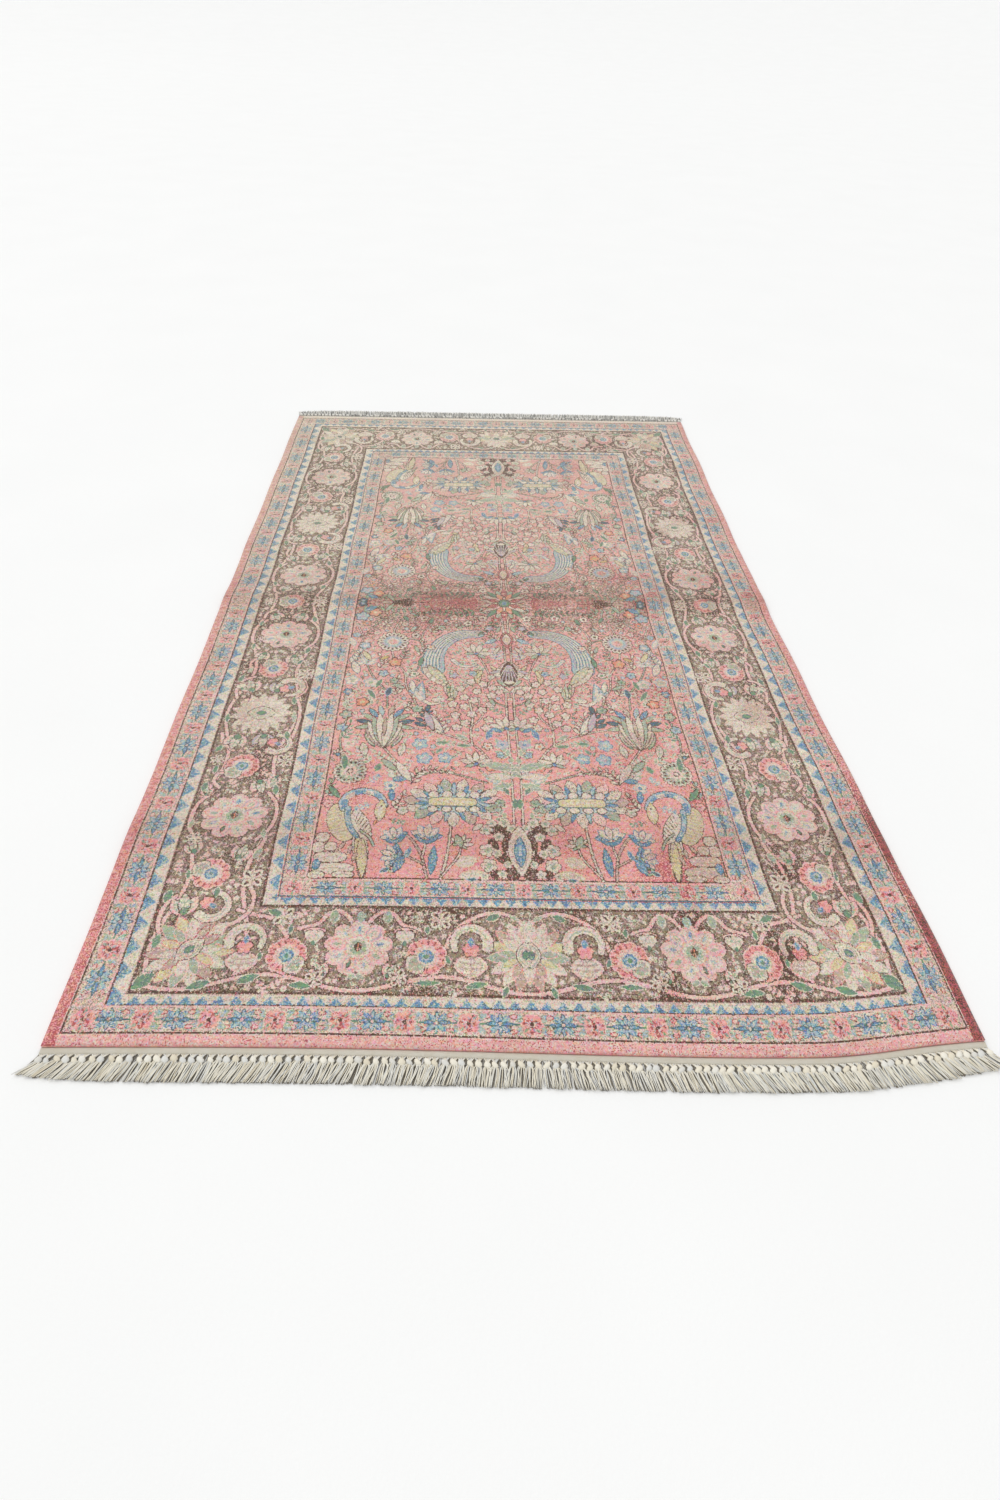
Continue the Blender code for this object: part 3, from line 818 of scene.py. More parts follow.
def striped_palmette(u, v):
    """A bell of umber with pale ribs that spread downwards, a scroll on each side, and sage leaves below."""
    for side in (-1, 1):
        leaf(u, v - 50, 40, 18, 62 * side, "ucs", 0, 4)
        leaf(u, v - 34, 34, 14, 50 * side, "us")
        leaf(u, v + 48, 62, 22, 180 - 24 * side, "ua")
        for spread, length in ((76, 30), (100, 34), (124, 36)):
            leaf(u + 8 * side, v + 14, length, 12, spread * side, "uc" if spread != 100 else "ul")
    leaf(u, v + 46, 84, 40, 180, "cu")
    ribs(((u - 4, v + 30), (u, v + 34), (u + 4, v + 30)), ((u - 15, v - 16), (u, v - 26), (u + 15, v - 16)),
         5, 2.4, "l")
    ribs(((u - 5, v + 30), (u + 5, v + 30)), ((u - 19, v - 6), (u + 19, v - 6)), 2, 1.4, "c")
    patch(u, v - 20, 10, 5, "uc")


def lily(u, v, size, turn):
    """A white lily edged with blue: five pointed petals over a blue crescent."""
    for spread, pair in entries("-75 nc, 75 nb, -38 bc, 38 bc, 0 nc"):
        leaf(u, v, size, 0.52 * size, turn + spread, pair)
    stroke(arc(moved((u, v), turn, 0.3 * size), 0.62 * size, turn + 120, turn + 240), 5, "nb")
    dots(*moved((u, v), turn, 0.45 * size), 0.25 * size, 0.3 * size, "m", 4.5)


def open_flower(u, v, size, turn):
    """A wide cream flower whose petals are parted by umber, like an open book."""
    for spread in (-70, -35, 35, 70, 0):
        leaf(u, v, size, 0.42 * size, turn + spread, "uc")
    for spread in (-110, 110):
        leaf(u, v, 0.7 * size, 0.3 * size, turn + spread, "us")
    patch(u, v, 3.5, 3.5, "ub")


each(ribbed_rosette, "325 480 30 cs, 374 850 34 kc")
bloom(374, 850, 22, ((1, 14, 0.2, 0.7, "l"), (0.86, 14, 0.2, 0.7, "k"), (0.56, 1, 0, 1, "c"),
                     (0.4, 7, 0.2, 1, "r")))
cloud_palmette(503, 411)
vase()
fan_palmette(377, 598)
striped_palmette(610, 742)
each(lily, "412 334 24 345, 461 336 28 10, 414 300 24 290")
each(open_flower, "541 500 32 0, 545 812 36 20, 516 322 22 20, 600 590 34 0, 300 520 16 30")
each(leaf, "610 832 56 30 0 um, 610 840 42 20 0 uc, 610 848 26 11 0 ay")
print("palmettes of the field drawn")

# %% [markdown]
# The rug's centre falls on the fold. Deep rose and umber patches lie along it, partly the rug's colour and
# partly painted shade of the fold. Leafy garlands run to it from both sides, and a star of leaves lies on
# top.

# %% The medallion
def medallion(u, v):
    """A star of leaves: olive and sage ones on the slants, long ones up and down, cream ones between, then a
    ring of madder leaves with pale tips round a green heart."""
    for bearing, length, yarns in entries("38 68 ug, 58 60 ucs, 18 62 us, 78 58 ua, 0 78 um"):
        for turn in (bearing, -bearing, 180 - bearing, 180 + bearing):
            leaf(u, v, length, 15, turn, yarns)
    petals(u, v, 42, 22.5, 8, 0.3, 1, 0.34, ("uo", "um"))
    petals(u, v, 30, 0, 8, 0.2, 1, 0.24, ("uc", "mc"))
    bloom(u, v, 15, ((1, 8, 0.2, 0.7, "u"), (0.85, 8, 0.2, 0.7, "g"), (0.4, 1, 0, 1, "b")))


# Yarns of the leaves, points of the stem
GARLANDS = entries("""
    gs 300 960 340 972 392 964 440 976, mc 320 992 372 984 424 990 480 984,
    rm 556 990 516 982 476 990 440 984, ug 548 962 508 950 466 958 424 946, ua 560 944 530 922 494 914,
    ta 420 936 376 926 340 934, ma 474 940 440 920 404 916, ug 588 930 580 902 560 884
    """)
for yarns, *path in GARLANDS:
    frond(path, 12, 17, 7.5, yarns, "u", 52)
# patches along the fold, umber and rose: partly the rug's colour and partly painted shade of the fold
# u, v, half width, half length, yarns
FOLD_PATCHES = entries("""
    376 988 12 6 ut, 397 984 14 8 tu, 352 990 14 5 ta, 456 984 12 14 mr, 500 986 22 7 rm, 540 978 10 12 rm,
    430 966 16 6 mr
    """)
for *place, yarns in FOLD_PATCHES:
    patch(*place, yarns, 0, 1.3)
    dots(*place, "a", 8)
medallion(HALF_WIDTH, HALF_LENGTH)
print("medallion drawn")

# %% [markdown]
# Between the large flowers come small ones: the florets that fill the tree's crown, single flowers on the
# stems, and leaves of every shade.

# %% Small flowers and leaves of the field
def floret(u, v, size, yarns, turn=0):
    """A small open flower of five petals, from a rim's, a petal's and a heart's yarn."""
    rings = [(1, 5, 0.34, 0.6, yarns[0]), (0.84, 5, 0.46, 0.6, yarns[-2]), (0.32, 5, 0.2, 1, yarns[-1])]
    bloom(u, v, size, rings, turn)


# u, v
TREE = entries("""
    506 626, 524 604, 508 592, 522 650, 540 668, 556 640, 568 614, 562 592, 572 656, 546 694, 522 676,
    500 656, 574 682, 536 628, 558 716, 514 702, 534 722, 576 704
    """)
for u, v in TREE:
    floret(u, v, 11, "ucp", u)
    dots(u, v, 5, 5, "g" if u % 3 else "m", 5, u)
# u, v, size, yarns
FLORETS = entries("""
    442 548 15 bkc, 450 512 15 bkl, 487 514 14 bkc, 304 724 15 kcs, 340 718 15 kcs, 362 746 12 ukb,
    300 690 11 ubc, 434 642 12 usg, 304 625 13 usy, 330 660 14 uoy, 316 548 12 cps, 590 548 12 klb,
    585 522 9 ukb, 396 446 13 kcb, 366 690 10 ucm, 384 724 10 usg, 382 782 16 uow, 318 836 14 ukc,
    590 692 10 upc, 574 738 9 ucs, 422 745 11 ucg, 452 832 10 uco, 304 940 17 nkl, 330 954 16 uoy,
    316 914 11 uob, 300 985 12 unk, 562 936 12 ucu, 575 900 10 ulk, 396 912 9 ucm, 340 882 10 ups,
    298 872 10 uks, 572 466 13 kcb, 566 490 10 uoy, 300 590 12 ukb, 424 694 11 ukc, 298 406 10 upm,
    420 392 11 ucs, 580 410 10 usg, 563 544 11 uco, 500 742 11 ulk, 538 748 10 ukb, 436 934 11 ucu,
    500 938 12 ucm, 376 946 12 uag, 420 872 11 ucu, 474 900 10 usm, 530 918 11 ucu, 590 930 12 ums
    """)
for u, v, size, yarns in FLORETS:
    floret(u, v, size, yarns, v)
# u, v, length, width, turn, yarns
leaves = each(leaf, """
    293 446 36 13 142 ug, 312 522 40 14 175 cg, 368 480 20 13 20 sg, 428 300 34 15 205 nb,
    470 264 56 15 5 nb, 438 316 22 10 200 kb, 508 284 36 22 70 ycy, 512 262 42 17 78 yc,
    518 316 28 15 340 us, 534 350 24 12 50 uc, 392 268 18 9 60 kn, 524 258 18 8 90 kn, 430 456 56 18 330 uc,
    404 482 40 15 315 us, 396 462 26 14 90 nb, 398 440 28 13 175 nb, 470 552 24 9 90 sg, 506 546 28 9 95 sg,
    470 524 18 8 40 sg, 604 488 52 20 285 cs, 604 470 48 18 270 sc, 604 454 40 16 250 cs,
    484 578 66 17 328 nc, 466 582 58 16 342 ul, 592 580 24 11 300 nb, 562 560 32 13 20 kb,
    606 396 26 13 0 cg, 597 428 22 10 330 cg, 424 690 38 14 350 nc, 408 700 30 12 300 us,
    444 664 36 13 330 kc, 354 668 36 12 330 cg, 350 700 32 11 20 cg, 374 676 30 13 10 kn,
    298 786 46 18 160 nc, 334 786 40 14 330 uy, 298 832 34 14 340 kc, 350 790 24 11 60 uw,
    408 884 28 11 30 us, 430 768 34 12 10 ug, 428 814 28 10 340 us, 562 846 32 14 60 nk,
    580 810 32 11 30 uc, 590 884 26 10 20 us, 306 960 30 15 60 nb, 404 922 26 11 330 ug,
    446 912 28 11 20 ug, 350 956 36 12 30 us, 586 758 24 9 320 uy, 546 732 30 11 20 uy,
    582 652 26 10 330 us, 530 560 30 11 300 cs
    """)
print(len(TREE), "tree florets,", len(FLORETS), "flowers and", leaves, "leaves")

# %% [markdown]
# A weaver leaves no bare ground. What is still empty gets small fillers: sprigs, florets, leaves and dashes,
# from a seeded shuffle, wherever a window of the chart still has only its ground yarn.

# %% Fillers
def sprig(u, v, size, turn, yarns):
    """A short bent stem with a bud at its tip and leaves on both sides. Its yarns are the stem, the leaves'
    edge, their body and the bud."""
    ahead, beside = toward(turn)
    foot = np.array((u, v)) - size * ahead
    path = [foot + size * (2 * t * ahead + 0.5 * t * (1 - t) * beside) for t in (0, 0.35, 0.7, 1)]
    stroke(path, 1.3, yarns[0])
    for step, point in enumerate(path[1:]):
        for side in (-1, 1):
            leaf(*point, 0.75 * size, 0.34 * size + 1.5, turn + side * (58 - 12 * step), yarns[1:3])
    leaf(*path[-1], 0.7 * size, 0.45 * size + 1, turn, yarns[1] + yarns[3])


def fillers(ground, low, high, pitch, clear, kinds, seed):
    """Tries a small mark at every place of a jittered lattice, and draws it where the knots within clear mm
    are all ground. One yarn makes a dash, two a leaf, three a floret and four a sprig."""
    random = np.random.default_rng(seed)
    drawn = 0
    for v in np.arange(low[1], high[1], pitch):
        for u in np.arange(low[0], high[0], pitch):
            at = np.array((u, v)) + random.uniform(-0.4, 0.4, 2) * pitch
            size = clear * random.uniform(0.8, 1.1)
            turn = random.uniform(0, 360)
            yarns = kinds[random.integers(len(kinds))]
            place, _, _ = chart.near(*at, 0.8 * clear, 0)
            if chart.yarn[place].size == 0 or (chart.yarn[place] != CODE[ground]).any():
                continue
            if len(yarns) == 4:
                sprig(*at, size, turn, yarns)
            elif len(yarns) == 3:
                floret(*at, 0.85 * size, yarns, turn)
            elif len(yarns) == 2:
                leaf(*moved(at, turn, -size), 2 * size, max(3.8, 0.8 * size), turn, yarns, 0.15)
            else:
                stroke((moved(at, turn, -0.6 * size), moved(at, turn, 0.6 * size)), STEM, yarns)
            drawn += 1
    return drawn


FIELD_LOW = (289, 258)      # the inner corner of the borders, just inside the field
BORDER_LOW = (84, 74)
BORDER_HIGH = (226, 206)
CENTRE = (HALF_WIDTH, HALF_LENGTH)
FIELD_FILLERS = (  # where they start, pitch, clearance, kinds, seed
    (258, 8, 12, ("ucsc", "usgc", "kkcb", "uscg", "tcsc", "ucsp"), 5),
    (480, 5, 7, ("tcsc", "cs", "us", "uca", "ta", "sc", "ukc"), 6),
    (640, 4, 4, ("ts", "ac", "ta", "u", "pc"), 7),
)
BORDER_FILLERS = (  # pitch, clearance, kinds, the seeds of the side and the end
    (7, 10, ("ppcp", "pcsc", "ppcs", "acgc"), (8, 10)),
    (5, 5.5, ("cs", "pc", "cg", "pcp", "ap"), (9, 11)),
    (5, 4.0, ("a", "u"), (13, 14)),
)
drawn = []
for start, pitch, clear, kinds, seed in FIELD_FILLERS:
    drawn.append(fillers("r", (FIELD_LOW[0], start), CENTRE, pitch, clear, kinds, seed))
for pitch, clear, kinds, seeds in BORDER_FILLERS:
    drawn.append(fillers("t", BORDER_LOW, (BORDER_HIGH[0], HALF_LENGTH), pitch, clear, kinds, seeds[0]))
    end_low = (BORDER_HIGH[0], BORDER_LOW[1])
    drawn.append(fillers("t", end_low, (HALF_WIDTH, BORDER_HIGH[1]), pitch, clear, kinds, seeds[1]))
for low, high, seed in (((19, 18), (57, HALF_LENGTH), 12), ((57, 18), (HALF_WIDTH, 51), 15)):
    drawn.append(fillers("c", low, high, 5, 3.2, ("ps", "p", "a", "s"), seed))
print("fillers drawn:", drawn)

# %% [markdown]
# Nor is any patch woven in one yarn alone. The weaver lets sparks of other yarns stand in it, a knot or an
# upright pair at a time, so that rose shimmers with pink and cream, and cream with sage and straw.

# %% Sparks of other yarns
CORNER = (0, 0)
SPARKS = [  # yarn of the patch, low corner, high corner, share of its knots, yarns of the sparks
    ("r", FIELD_LOW, CENTRE, 0.10, "ppprrmps"), ("t", BORDER_LOW, CENTRE, 0.15, "aausup"),
    ("c", CORNER, CENTRE, 0.18, "papsyap"), ("b", CORNER, CENTRE, 0.22, "kkns"),
    ("p", CORNER, CENTRE, 0.16, "crc"), ("y", CORNER, CENTRE, 0.22, "caw"),
    ("k", CORNER, CENTRE, 0.16, "cbs"), ("u", CORNER, CENTRE, 0.14, "tma"),
    ("m", CORNER, CENTRE, 0.16, "rpu"), ("r", (FIELD_LOW[0], 890), CENTRE, 0.30, "mucsmgmc"),
]
for side_in, end_in, side_out, end_out in ((17, 15, 58, 53), (249, 224, 286, 256)):    # the two guards
    SPARKS += [("c", (side_in, end_in), (side_out, HALF_LENGTH), 0.62, "ptpaa"),
               ("c", (side_out, end_in), (HALF_WIDTH, end_out), 0.40, "paprt")]


def sparkle(ground, low, high, share, yarns, random):
    """Between two corners, a share of the ground's knots, and 0.6 of the knots above those, take one of the
    yarns."""
    rows = slice(*np.searchsorted(chart.v, (low[1], high[1])))
    columns = slice(*np.searchsorted(chart.u, (low[0], high[0])))
    part = chart.yarn[rows, columns]
    spark = random.random(part.shape) < share
    spark[1:] |= spark[:-1] & (random.random(part[1:].shape) < 0.6)
    spark &= part == CODE[ground]
    part[spark] = codes(yarns)[random.integers(len(yarns), size=spark.sum())]
    return int(spark.sum())


random = np.random.default_rng(19)
print("knots that spark:", [sparkle(*entry, random) for entry in SPARKS])

# %% [markdown]
# On a real old rug no patch is one flat shade. The silk was dyed in small lots, tufts lean into their
# neighbours, and light and feet have worn it unevenly. So in the whole mirrored chart clumps of knots take a
# near shade of their yarn, some take their neighbour's yarn, and the four quarters differ a little.

# %% The whole chart
KINDRED = {  # yarn: what its knots turn into, in equal shares
    "r": "rrrrrrrrrprpom", "m": "mmmmmmmrmu", "p": "ppppppppcra", "c": "cccccccccccpsy", "y": "yyyyyyyycw",
    "t": "ttttttttau", "u": "uuuuuuuuut", "a": "aaaaaaaptc", "s": "sssssssckg", "g": "ggggggggsn",
    "k": "kkkkkkkkkcb", "b": "bbbbbbbbbkn", "n": "nnnnnnnbgt", "l": "lllllllpkc", "o": "ooooooorpw",
    "w": "wwwwwwyo",
}


def clumps(shape, size, random):
    """Smooth random numbers in lumps of about size knots down and across: a coarse random grid, read in
    between by the ease t * t * (3 - 2 * t) both ways."""
    places = [np.arange(count) / step for count, step in zip(shape, size)]
    coarse = random.random([int(place[-1]) + 3 for place in places])
    (r, c), (fr, fc) = [p.astype(int) for p in places], [p % 1 for p in places]
    fr, fc = (fr * fr * (3 - 2 * fr))[:, None], (fc * fc * (3 - 2 * fc))[None, :]
    near_row = coarse[r][:, c] * (1 - fc) + coarse[r][:, c + 1] * fc
    next_row = coarse[r + 1][:, c] * (1 - fc) + coarse[r + 1][:, c + 1] * fc
    return near_row * (1 - fr) + next_row * fr


def take(kin, lot):
    """For each knot one of the kin, by its lot from 0 to 1."""
    return codes(kin)[(lot * len(kin)).astype(int)]


STRAY = 0.05                # share of knots that take their neighbour's yarn, once for each way
STRIPE_KNOTS = (12, 13)     # depth of the outer stripe at the ends and at the sides, in knots
STRIPES = {  # the rose of the outer stripe was spun in several lots: pale at the ends and deep at the sides
    "near": "prprrpprmc", "far": "cccpcpccyc", "side": "rmrmrrprpo", "low left": "rmmrmmrmrm",
    "low right": "mmumummmuu",
}
DEEPER = (("t", "u", 1.04), ("r", "m", 1.24), ("p", "r", 1.18), ("c", "a", 1.14))   # from, into, above which
# painted shade: along the middle fold the yarns turn deeper, for the fold's shade
FOLD_SHADE_DEEPER = (0.42, 45)    # how much deeper the rug is along its middle fold, and over how many knots
RIGHT_DEEPER = (0.12, 1.3)  # how much deeper it is on the right, from this share of a half on
LOW_ROWS = (400, 530)       # about where the deep lots of the stripe end, on the left and on the right

left = np.concatenate((chart.yarn, chart.yarn[::-1]), 0)
whole = np.concatenate((left, left[:, ::-1]), 1)
random = np.random.default_rng(21)
for axis, way in ((0, 1), (1, 1), (0, -1), (1, -1)):
    stray = random.random(whole.shape) < STRAY
    whole = np.where(stray, np.roll(whole, way, axis), whole)
lot = (1.2 * clumps(whole.shape, (2, 7), random) + 0.9 * clumps(whole.shape, (5, 18), random)
       + 0.5 * random.random(whole.shape)) % 1
drawn_yarn = whole.copy()
for letter, kin in KINDRED.items():
    whole = np.where(drawn_yarn == CODE[letter], take(kin, lot), whole)
row, column = np.indices(whole.shape)
# deeper in random lots, and along the fold as painted shade
deep = (clumps(whole.shape, (55, 45), random) + 0.5 * random.random(whole.shape)
        + FOLD_SHADE_DEEPER[0] * bell((row - ROWS) / FOLD_SHADE_DEEPER[1]))
right = RIGHT_DEEPER[0] * (column > RIGHT_DEEPER[1] * COLUMNS)
for letter, into, above in DEEPER:
    changed = (drawn_yarn == CODE[letter]) & (deep > above - right)
    whole = np.where(changed, CODE[into], whole).astype(np.uint8)
at_side = np.minimum(column, whole.shape[1] - 1 - column) < STRIPE_KNOTS[1]
low = (row + 240 * clumps(whole.shape, (90, 900), random) + 180 * random.random(whole.shape)
       < np.where(column > COLUMNS, LOW_ROWS[1], LOW_ROWS[0]))
zones = {"near": (row < STRIPE_KNOTS[0]) & ~at_side, "far": (row >= 2 * ROWS - STRIPE_KNOTS[0]) & ~at_side,
         "side": at_side & ~low, "low left": at_side & low & (column < COLUMNS),
         "low right": at_side & low & (column > COLUMNS)}
for name, zone in zones.items():
    whole = np.where(zone & (drawn_yarn == CODE["r"]), take(STRIPES[name], lot), whole)
print("whole chart:", whole.shape, "knots; rose on", round(float((whole == CODE["r"]).mean()), 2), "of it")

# %% [markdown]
# A mesh of a million and a half knots would be far too heavy. So each face of the pile stands for a block of
# 4 by 4 knots. A yarn's number is a digit in base 16, and one row of a block is a number of four digits,
# which a face attribute holds exactly. The material later takes the digit back out with a few sums.

# %% Packing the chart
BLOCK = 4
PACK = 16 ** np.arange(BLOCK)


def packed_rows(knots):
    """For each block of 4 by 4 knots, its four rows as numbers: the sum of yarn * 16 ** column."""
    rows, columns = knots.shape
    blocks = knots.reshape(rows // BLOCK, BLOCK, columns // BLOCK, BLOCK).astype(float)
    return (blocks * PACK).sum(-1).transpose(1, 0, 2).reshape(BLOCK, -1)


packed = packed_rows(whole)
print("each block row is a number up to", int(packed.max()))

# %% [markdown]
# Every piece starts as an array of points. A few helpers turn such an array into a mesh: one makes the
# object, and two list the faces that join the points of a grid or of a row of tubes.

# %% From arrays to meshes
def make_piece(name, points, faces):
    """A smooth mesh object from an array of points and lists of each face's points."""
    mesh = bpy.data.meshes.new(name)
    mesh.from_pydata(points.reshape(-1, 3).tolist(), [], faces)
    mesh.polygons.foreach_set("use_smooth", np.full(len(mesh.polygons), True))
    mesh.update()
    piece = bpy.data.objects.new(name, mesh)
    bpy.context.scene.collection.objects.link(piece)
    return piece


def grid_faces(columns, rows, flip=False):
    """Quads of a grid whose points run across first: each joins a point, its right one and the two above."""
    first = (np.arange(rows - 1)[:, None] * columns + np.arange(columns - 1)).ravel()
    quads = np.stack((first, first + 1, first + columns + 1, first + columns), 1)
    return quads[:, ::-1] if flip else quads


def tube_faces(rings, sides, tubes=1):
    """Quads of closed tubes whose points run tube by tube, ring by ring and then round."""
    side = np.arange(sides)
    following = (side + 1) % sides
    corner = (np.arange(tubes)[:, None] * rings + np.arange(rings - 1))[..., None] * sides
    quads = (corner + side, corner + following, corner + sides + following, corner + sides + side)
    return np.stack(quads, -1).reshape(-1, 4)


def set_map(piece, name, corners):
    """A UV map from one pair of numbers for each corner of each face."""
    piece.data.uv_layers.new(name=name).data.foreach_set("uv", np.asarray(corners, np.float32).ravel())


def report(piece):
    """Prints how many triangles a piece has."""
    piece.data.calc_loop_triangles()
    print(piece.name, "has", len(piece.data.loop_triangles), "triangles")


print("mesh helpers ready")

# %% [markdown]
# The pile is one sheet of 240 by 390 faces. Its edge sinks in a soft shoulder and drops to the floor. The
# weaver beat the rows unevenly in the far half, so its blocks are short at the fold and stretch as they go
# out. The back is a second sheet, since the woven back shows the same pattern, mirrored as it is seen from
# below.

# %% The pile and the back
FOUNDATION = 0.0022
PILE = 0.0033
PILE_SHOULDER = 0.0012
SHOULDER_FADE = 2.5     # how far in from the edge the shoulder reaches, in mm of the chart
PILE_WAVE = 0.00012
WALL_FOOT = 0.0003      # height of the wall's foot off the floor
FAR_STRETCH = {"middle": 0.93, "end": 0.13}


def chart_place(u, v):
    """Where a point of the whole chart lies, in shares: u over the width, and v over the length with the far
    half stretched to d * (middle + end * d / half), where d is the distance past the chart's middle."""
    past = np.clip(v - HALF_LENGTH, 0, None)
    stretch = FAR_STRETCH["middle"] + FAR_STRETCH["end"] * past / HALF_LENGTH
    run = np.minimum(v, HALF_LENGTH) + past * stretch
    return u / (2 * HALF_WIDTH) - 0.5, run * MM / RUG_LENGTH - 0.5


def cloth_points(columns, rows):
    """The places of a grid over the whole chart."""
    u, v = np.meshgrid(np.linspace(0, 2 * HALF_WIDTH, columns), np.linspace(0, 2 * HALF_LENGTH, rows))
    return (u, v, *plan(*chart_place(u, v)))


def add_chart(piece, knots, faces, wall_faces):
    """Gives the faces their packed rows and a map from 0 to 4 on each; the walls repeat a plain block."""
    for row, numbers in enumerate(packed_rows(knots)):
        attribute = piece.data.attributes.new(f"yarns_{row}", "FLOAT", "FACE")
        attribute.data.foreach_set("value", np.append(numbers, np.zeros(wall_faces)).astype(np.float32))
    square = np.array(((0, 0), (BLOCK, 0), (BLOCK, BLOCK), (0, BLOCK)), float)
    set_map(piece, "knots", np.tile(square, (faces + wall_faces, 1)))


def bake_map(piece, points):
    """A flat map that shares one square over the whole piece, from its width and length."""
    flat = points.reshape(-1, 3)[:, :2]
    flat = (flat - flat.min(0)) / np.ptp(flat, 0)
    index = np.empty(len(piece.data.loops), int)
    piece.data.loops.foreach_get("vertex_index", index)
    set_map(piece, "OFBake", flat[index])


def pile():
    """The pile: the grid, its shoulder, and a wall round it whose foot is just off the floor."""
    columns, rows = 2 * COLUMNS // BLOCK + 1, 2 * ROWS // BLOCK + 1
    u, v, x, y = cloth_points(columns, rows)
    rim = np.minimum(np.minimum(u, 2 * HALF_WIDTH - u), np.minimum(v, 2 * HALF_LENGTH - v))
    wave = PILE_WAVE * np.sin(x * 61 + 3 * np.sin(y * 17)) * np.sin(y * 47 + 2 * np.sin(x * 23))
    z = lift(x, y) + FOUNDATION + PILE - PILE_SHOULDER * np.exp(-rim / SHOULDER_FADE) + wave
    top = np.stack((x, y, z), -1)
    index = np.arange(columns * rows).reshape(rows, columns)
    loop = np.concatenate((index[0, :-1], index[:-1, -1], index[-1, :0:-1], index[:0:-1, 0]))
    foot = top.reshape(-1, 3)[loop] * (1, 1, 0)
    foot[:, 2] = lift(foot[:, 0], foot[:, 1]) + WALL_FOOT
    here = np.arange(len(loop))
    after = np.roll(here, -1)
    base = columns * rows
    walls = np.stack((base + here, base + after, loop[after], loop[here]), 1)
    quads = grid_faces(columns, rows)
    points = np.concatenate((top.reshape(-1, 3), foot))
    piece = make_piece("knotted_pile", points, np.concatenate((quads, walls)).tolist())
    add_chart(piece, whole, len(quads), len(walls))
    bake_map(piece, points)
    return piece


def back():
    """The woven back, seen from below: every second knot of the chart on a coarser sheet."""
    columns, rows = COLUMNS // BLOCK + 1, ROWS // BLOCK + 1
    _, _, x, y = cloth_points(columns, rows)
    points = np.stack((x, y, lift(x, y)), -1)
    quads = grid_faces(columns, rows)
    piece = make_piece("woven_back", points, quads.tolist())
    add_chart(piece, whole[::2, ::2], len(quads), 0)
    bake_map(piece, points)
    piece.data.flip_normals()
    return piece


knotted_pile = pile()
woven_back = back()
report(knotted_pile)
report(woven_back)

# %% [markdown]
# Each side is overcast: silk wound round the outermost warps, turn beside turn. It is a tube whose outline
# swells and sinks with each turn. Past the pile at each end is a narrow flat weave, a sheet with fine
# ribs, which holds the knots in.

# %% Overcast sides and flat-woven ends
SELVEDGE_WIDTH = 0.0055
SELVEDGE_HEIGHT = 0.0048
TURN = 0.0030           # from one turn of the overcasting to the next
SWELL = 0.1             # share by which the silk bulges at the middle of a turn
KILIM_DEPTH = 0.010
KILIM_THICKNESS = 0.0018
KILIM_RIB = 0.0001
KILIM_GRID = (961, 7)   # points across and along a flat weave
GAP = 0.0003            # by how much a flat weave tucks under the pile


def overcast_side(side):
    """A tube along one side, whose radius is its full one * (1 - SWELL + SWELL * |sin|) over every turn. The
    turns lean, since the sine's angle moves with the cosine of the place round the tube."""
    turns = int(RUG_LENGTH / TURN)
    rings, sides = 4 * turns + 1, 8
    along = np.linspace(-0.5, 0.5, rings)[:, None]
    angle = np.arange(sides) / sides * 2 * np.pi
    swell = 1 - SWELL + SWELL * np.abs(np.sin(np.pi * (turns * (along + 0.5) + 0.25 * np.cos(angle))))
    across = side * (0.5 - SELVEDGE_WIDTH / RUG_WIDTH * (0.55 + 0.58 * swell * np.cos(angle)))
    x, y = plan(across, along + 0 * angle)
    z = lift(x, y) + SELVEDGE_HEIGHT * (0.5 + 0.5 * swell * np.sin(angle))
    name = "overcast_left" if side < 0 else "overcast_right"
    return make_piece(name, np.stack((x, y, z), -1), tube_faces(rings, sides)[:, ::side].tolist())


def end_edge(end, across):
    """The end edge of the knotted part at shares of the width."""
    return plan(across, 0.5 * end + 0 * across)


def flat_end(end):
    """A flat-woven strip past the pile: a grid whose height carries a rib for every pair of warps."""
    columns, rows = KILIM_GRID
    across = np.linspace(-0.5, 0.5, columns)
    x, y = end_edge(end, across)
    step = np.linspace(0, 1, rows)[:, None]
    y = y + end * (KILIM_DEPTH * step - GAP)
    rib = KILIM_RIB * np.cos(np.pi * np.arange(columns)) * np.cos(np.pi * np.arange(rows))[:, None]
    z = KILIM_THICKNESS * np.sqrt(np.clip(1 - (2 * step - 1) ** 6, 0.02, 1)) + rib + lift(x, y)
    points = np.stack((np.broadcast_to(x, y.shape), y, z), -1)
    piece = make_piece("flat_weave_near" if end < 0 else "flat_weave_far", points,
                       grid_faces(columns, rows, flip=end < 0).tolist())
    # the first row, where the flat weave meets the pile, carries a painted shadow line
    seam = piece.data.attributes.new("seam", "FLOAT", "POINT")
    seam.data.foreach_set("value", np.repeat(np.arange(rows) == 0, columns).astype(np.float32))
    return piece


overcast = [overcast_side(side) for side in (-1, 1)]
flat_ends = [flat_end(end) for end in (-1, 1)]
for piece in overcast + flat_ends:
    report(piece)

# %% [markdown]
# The fringe is the rug's own warps. Groups of them run out of the flat weave, are tied in an overhand knot
# each, and spread below it as loose cords, cut off in one line. Warps that slipped out of their knot lie flat
# on the floor, and each tassel fans out on top of them. The cords lean out towards the corners.

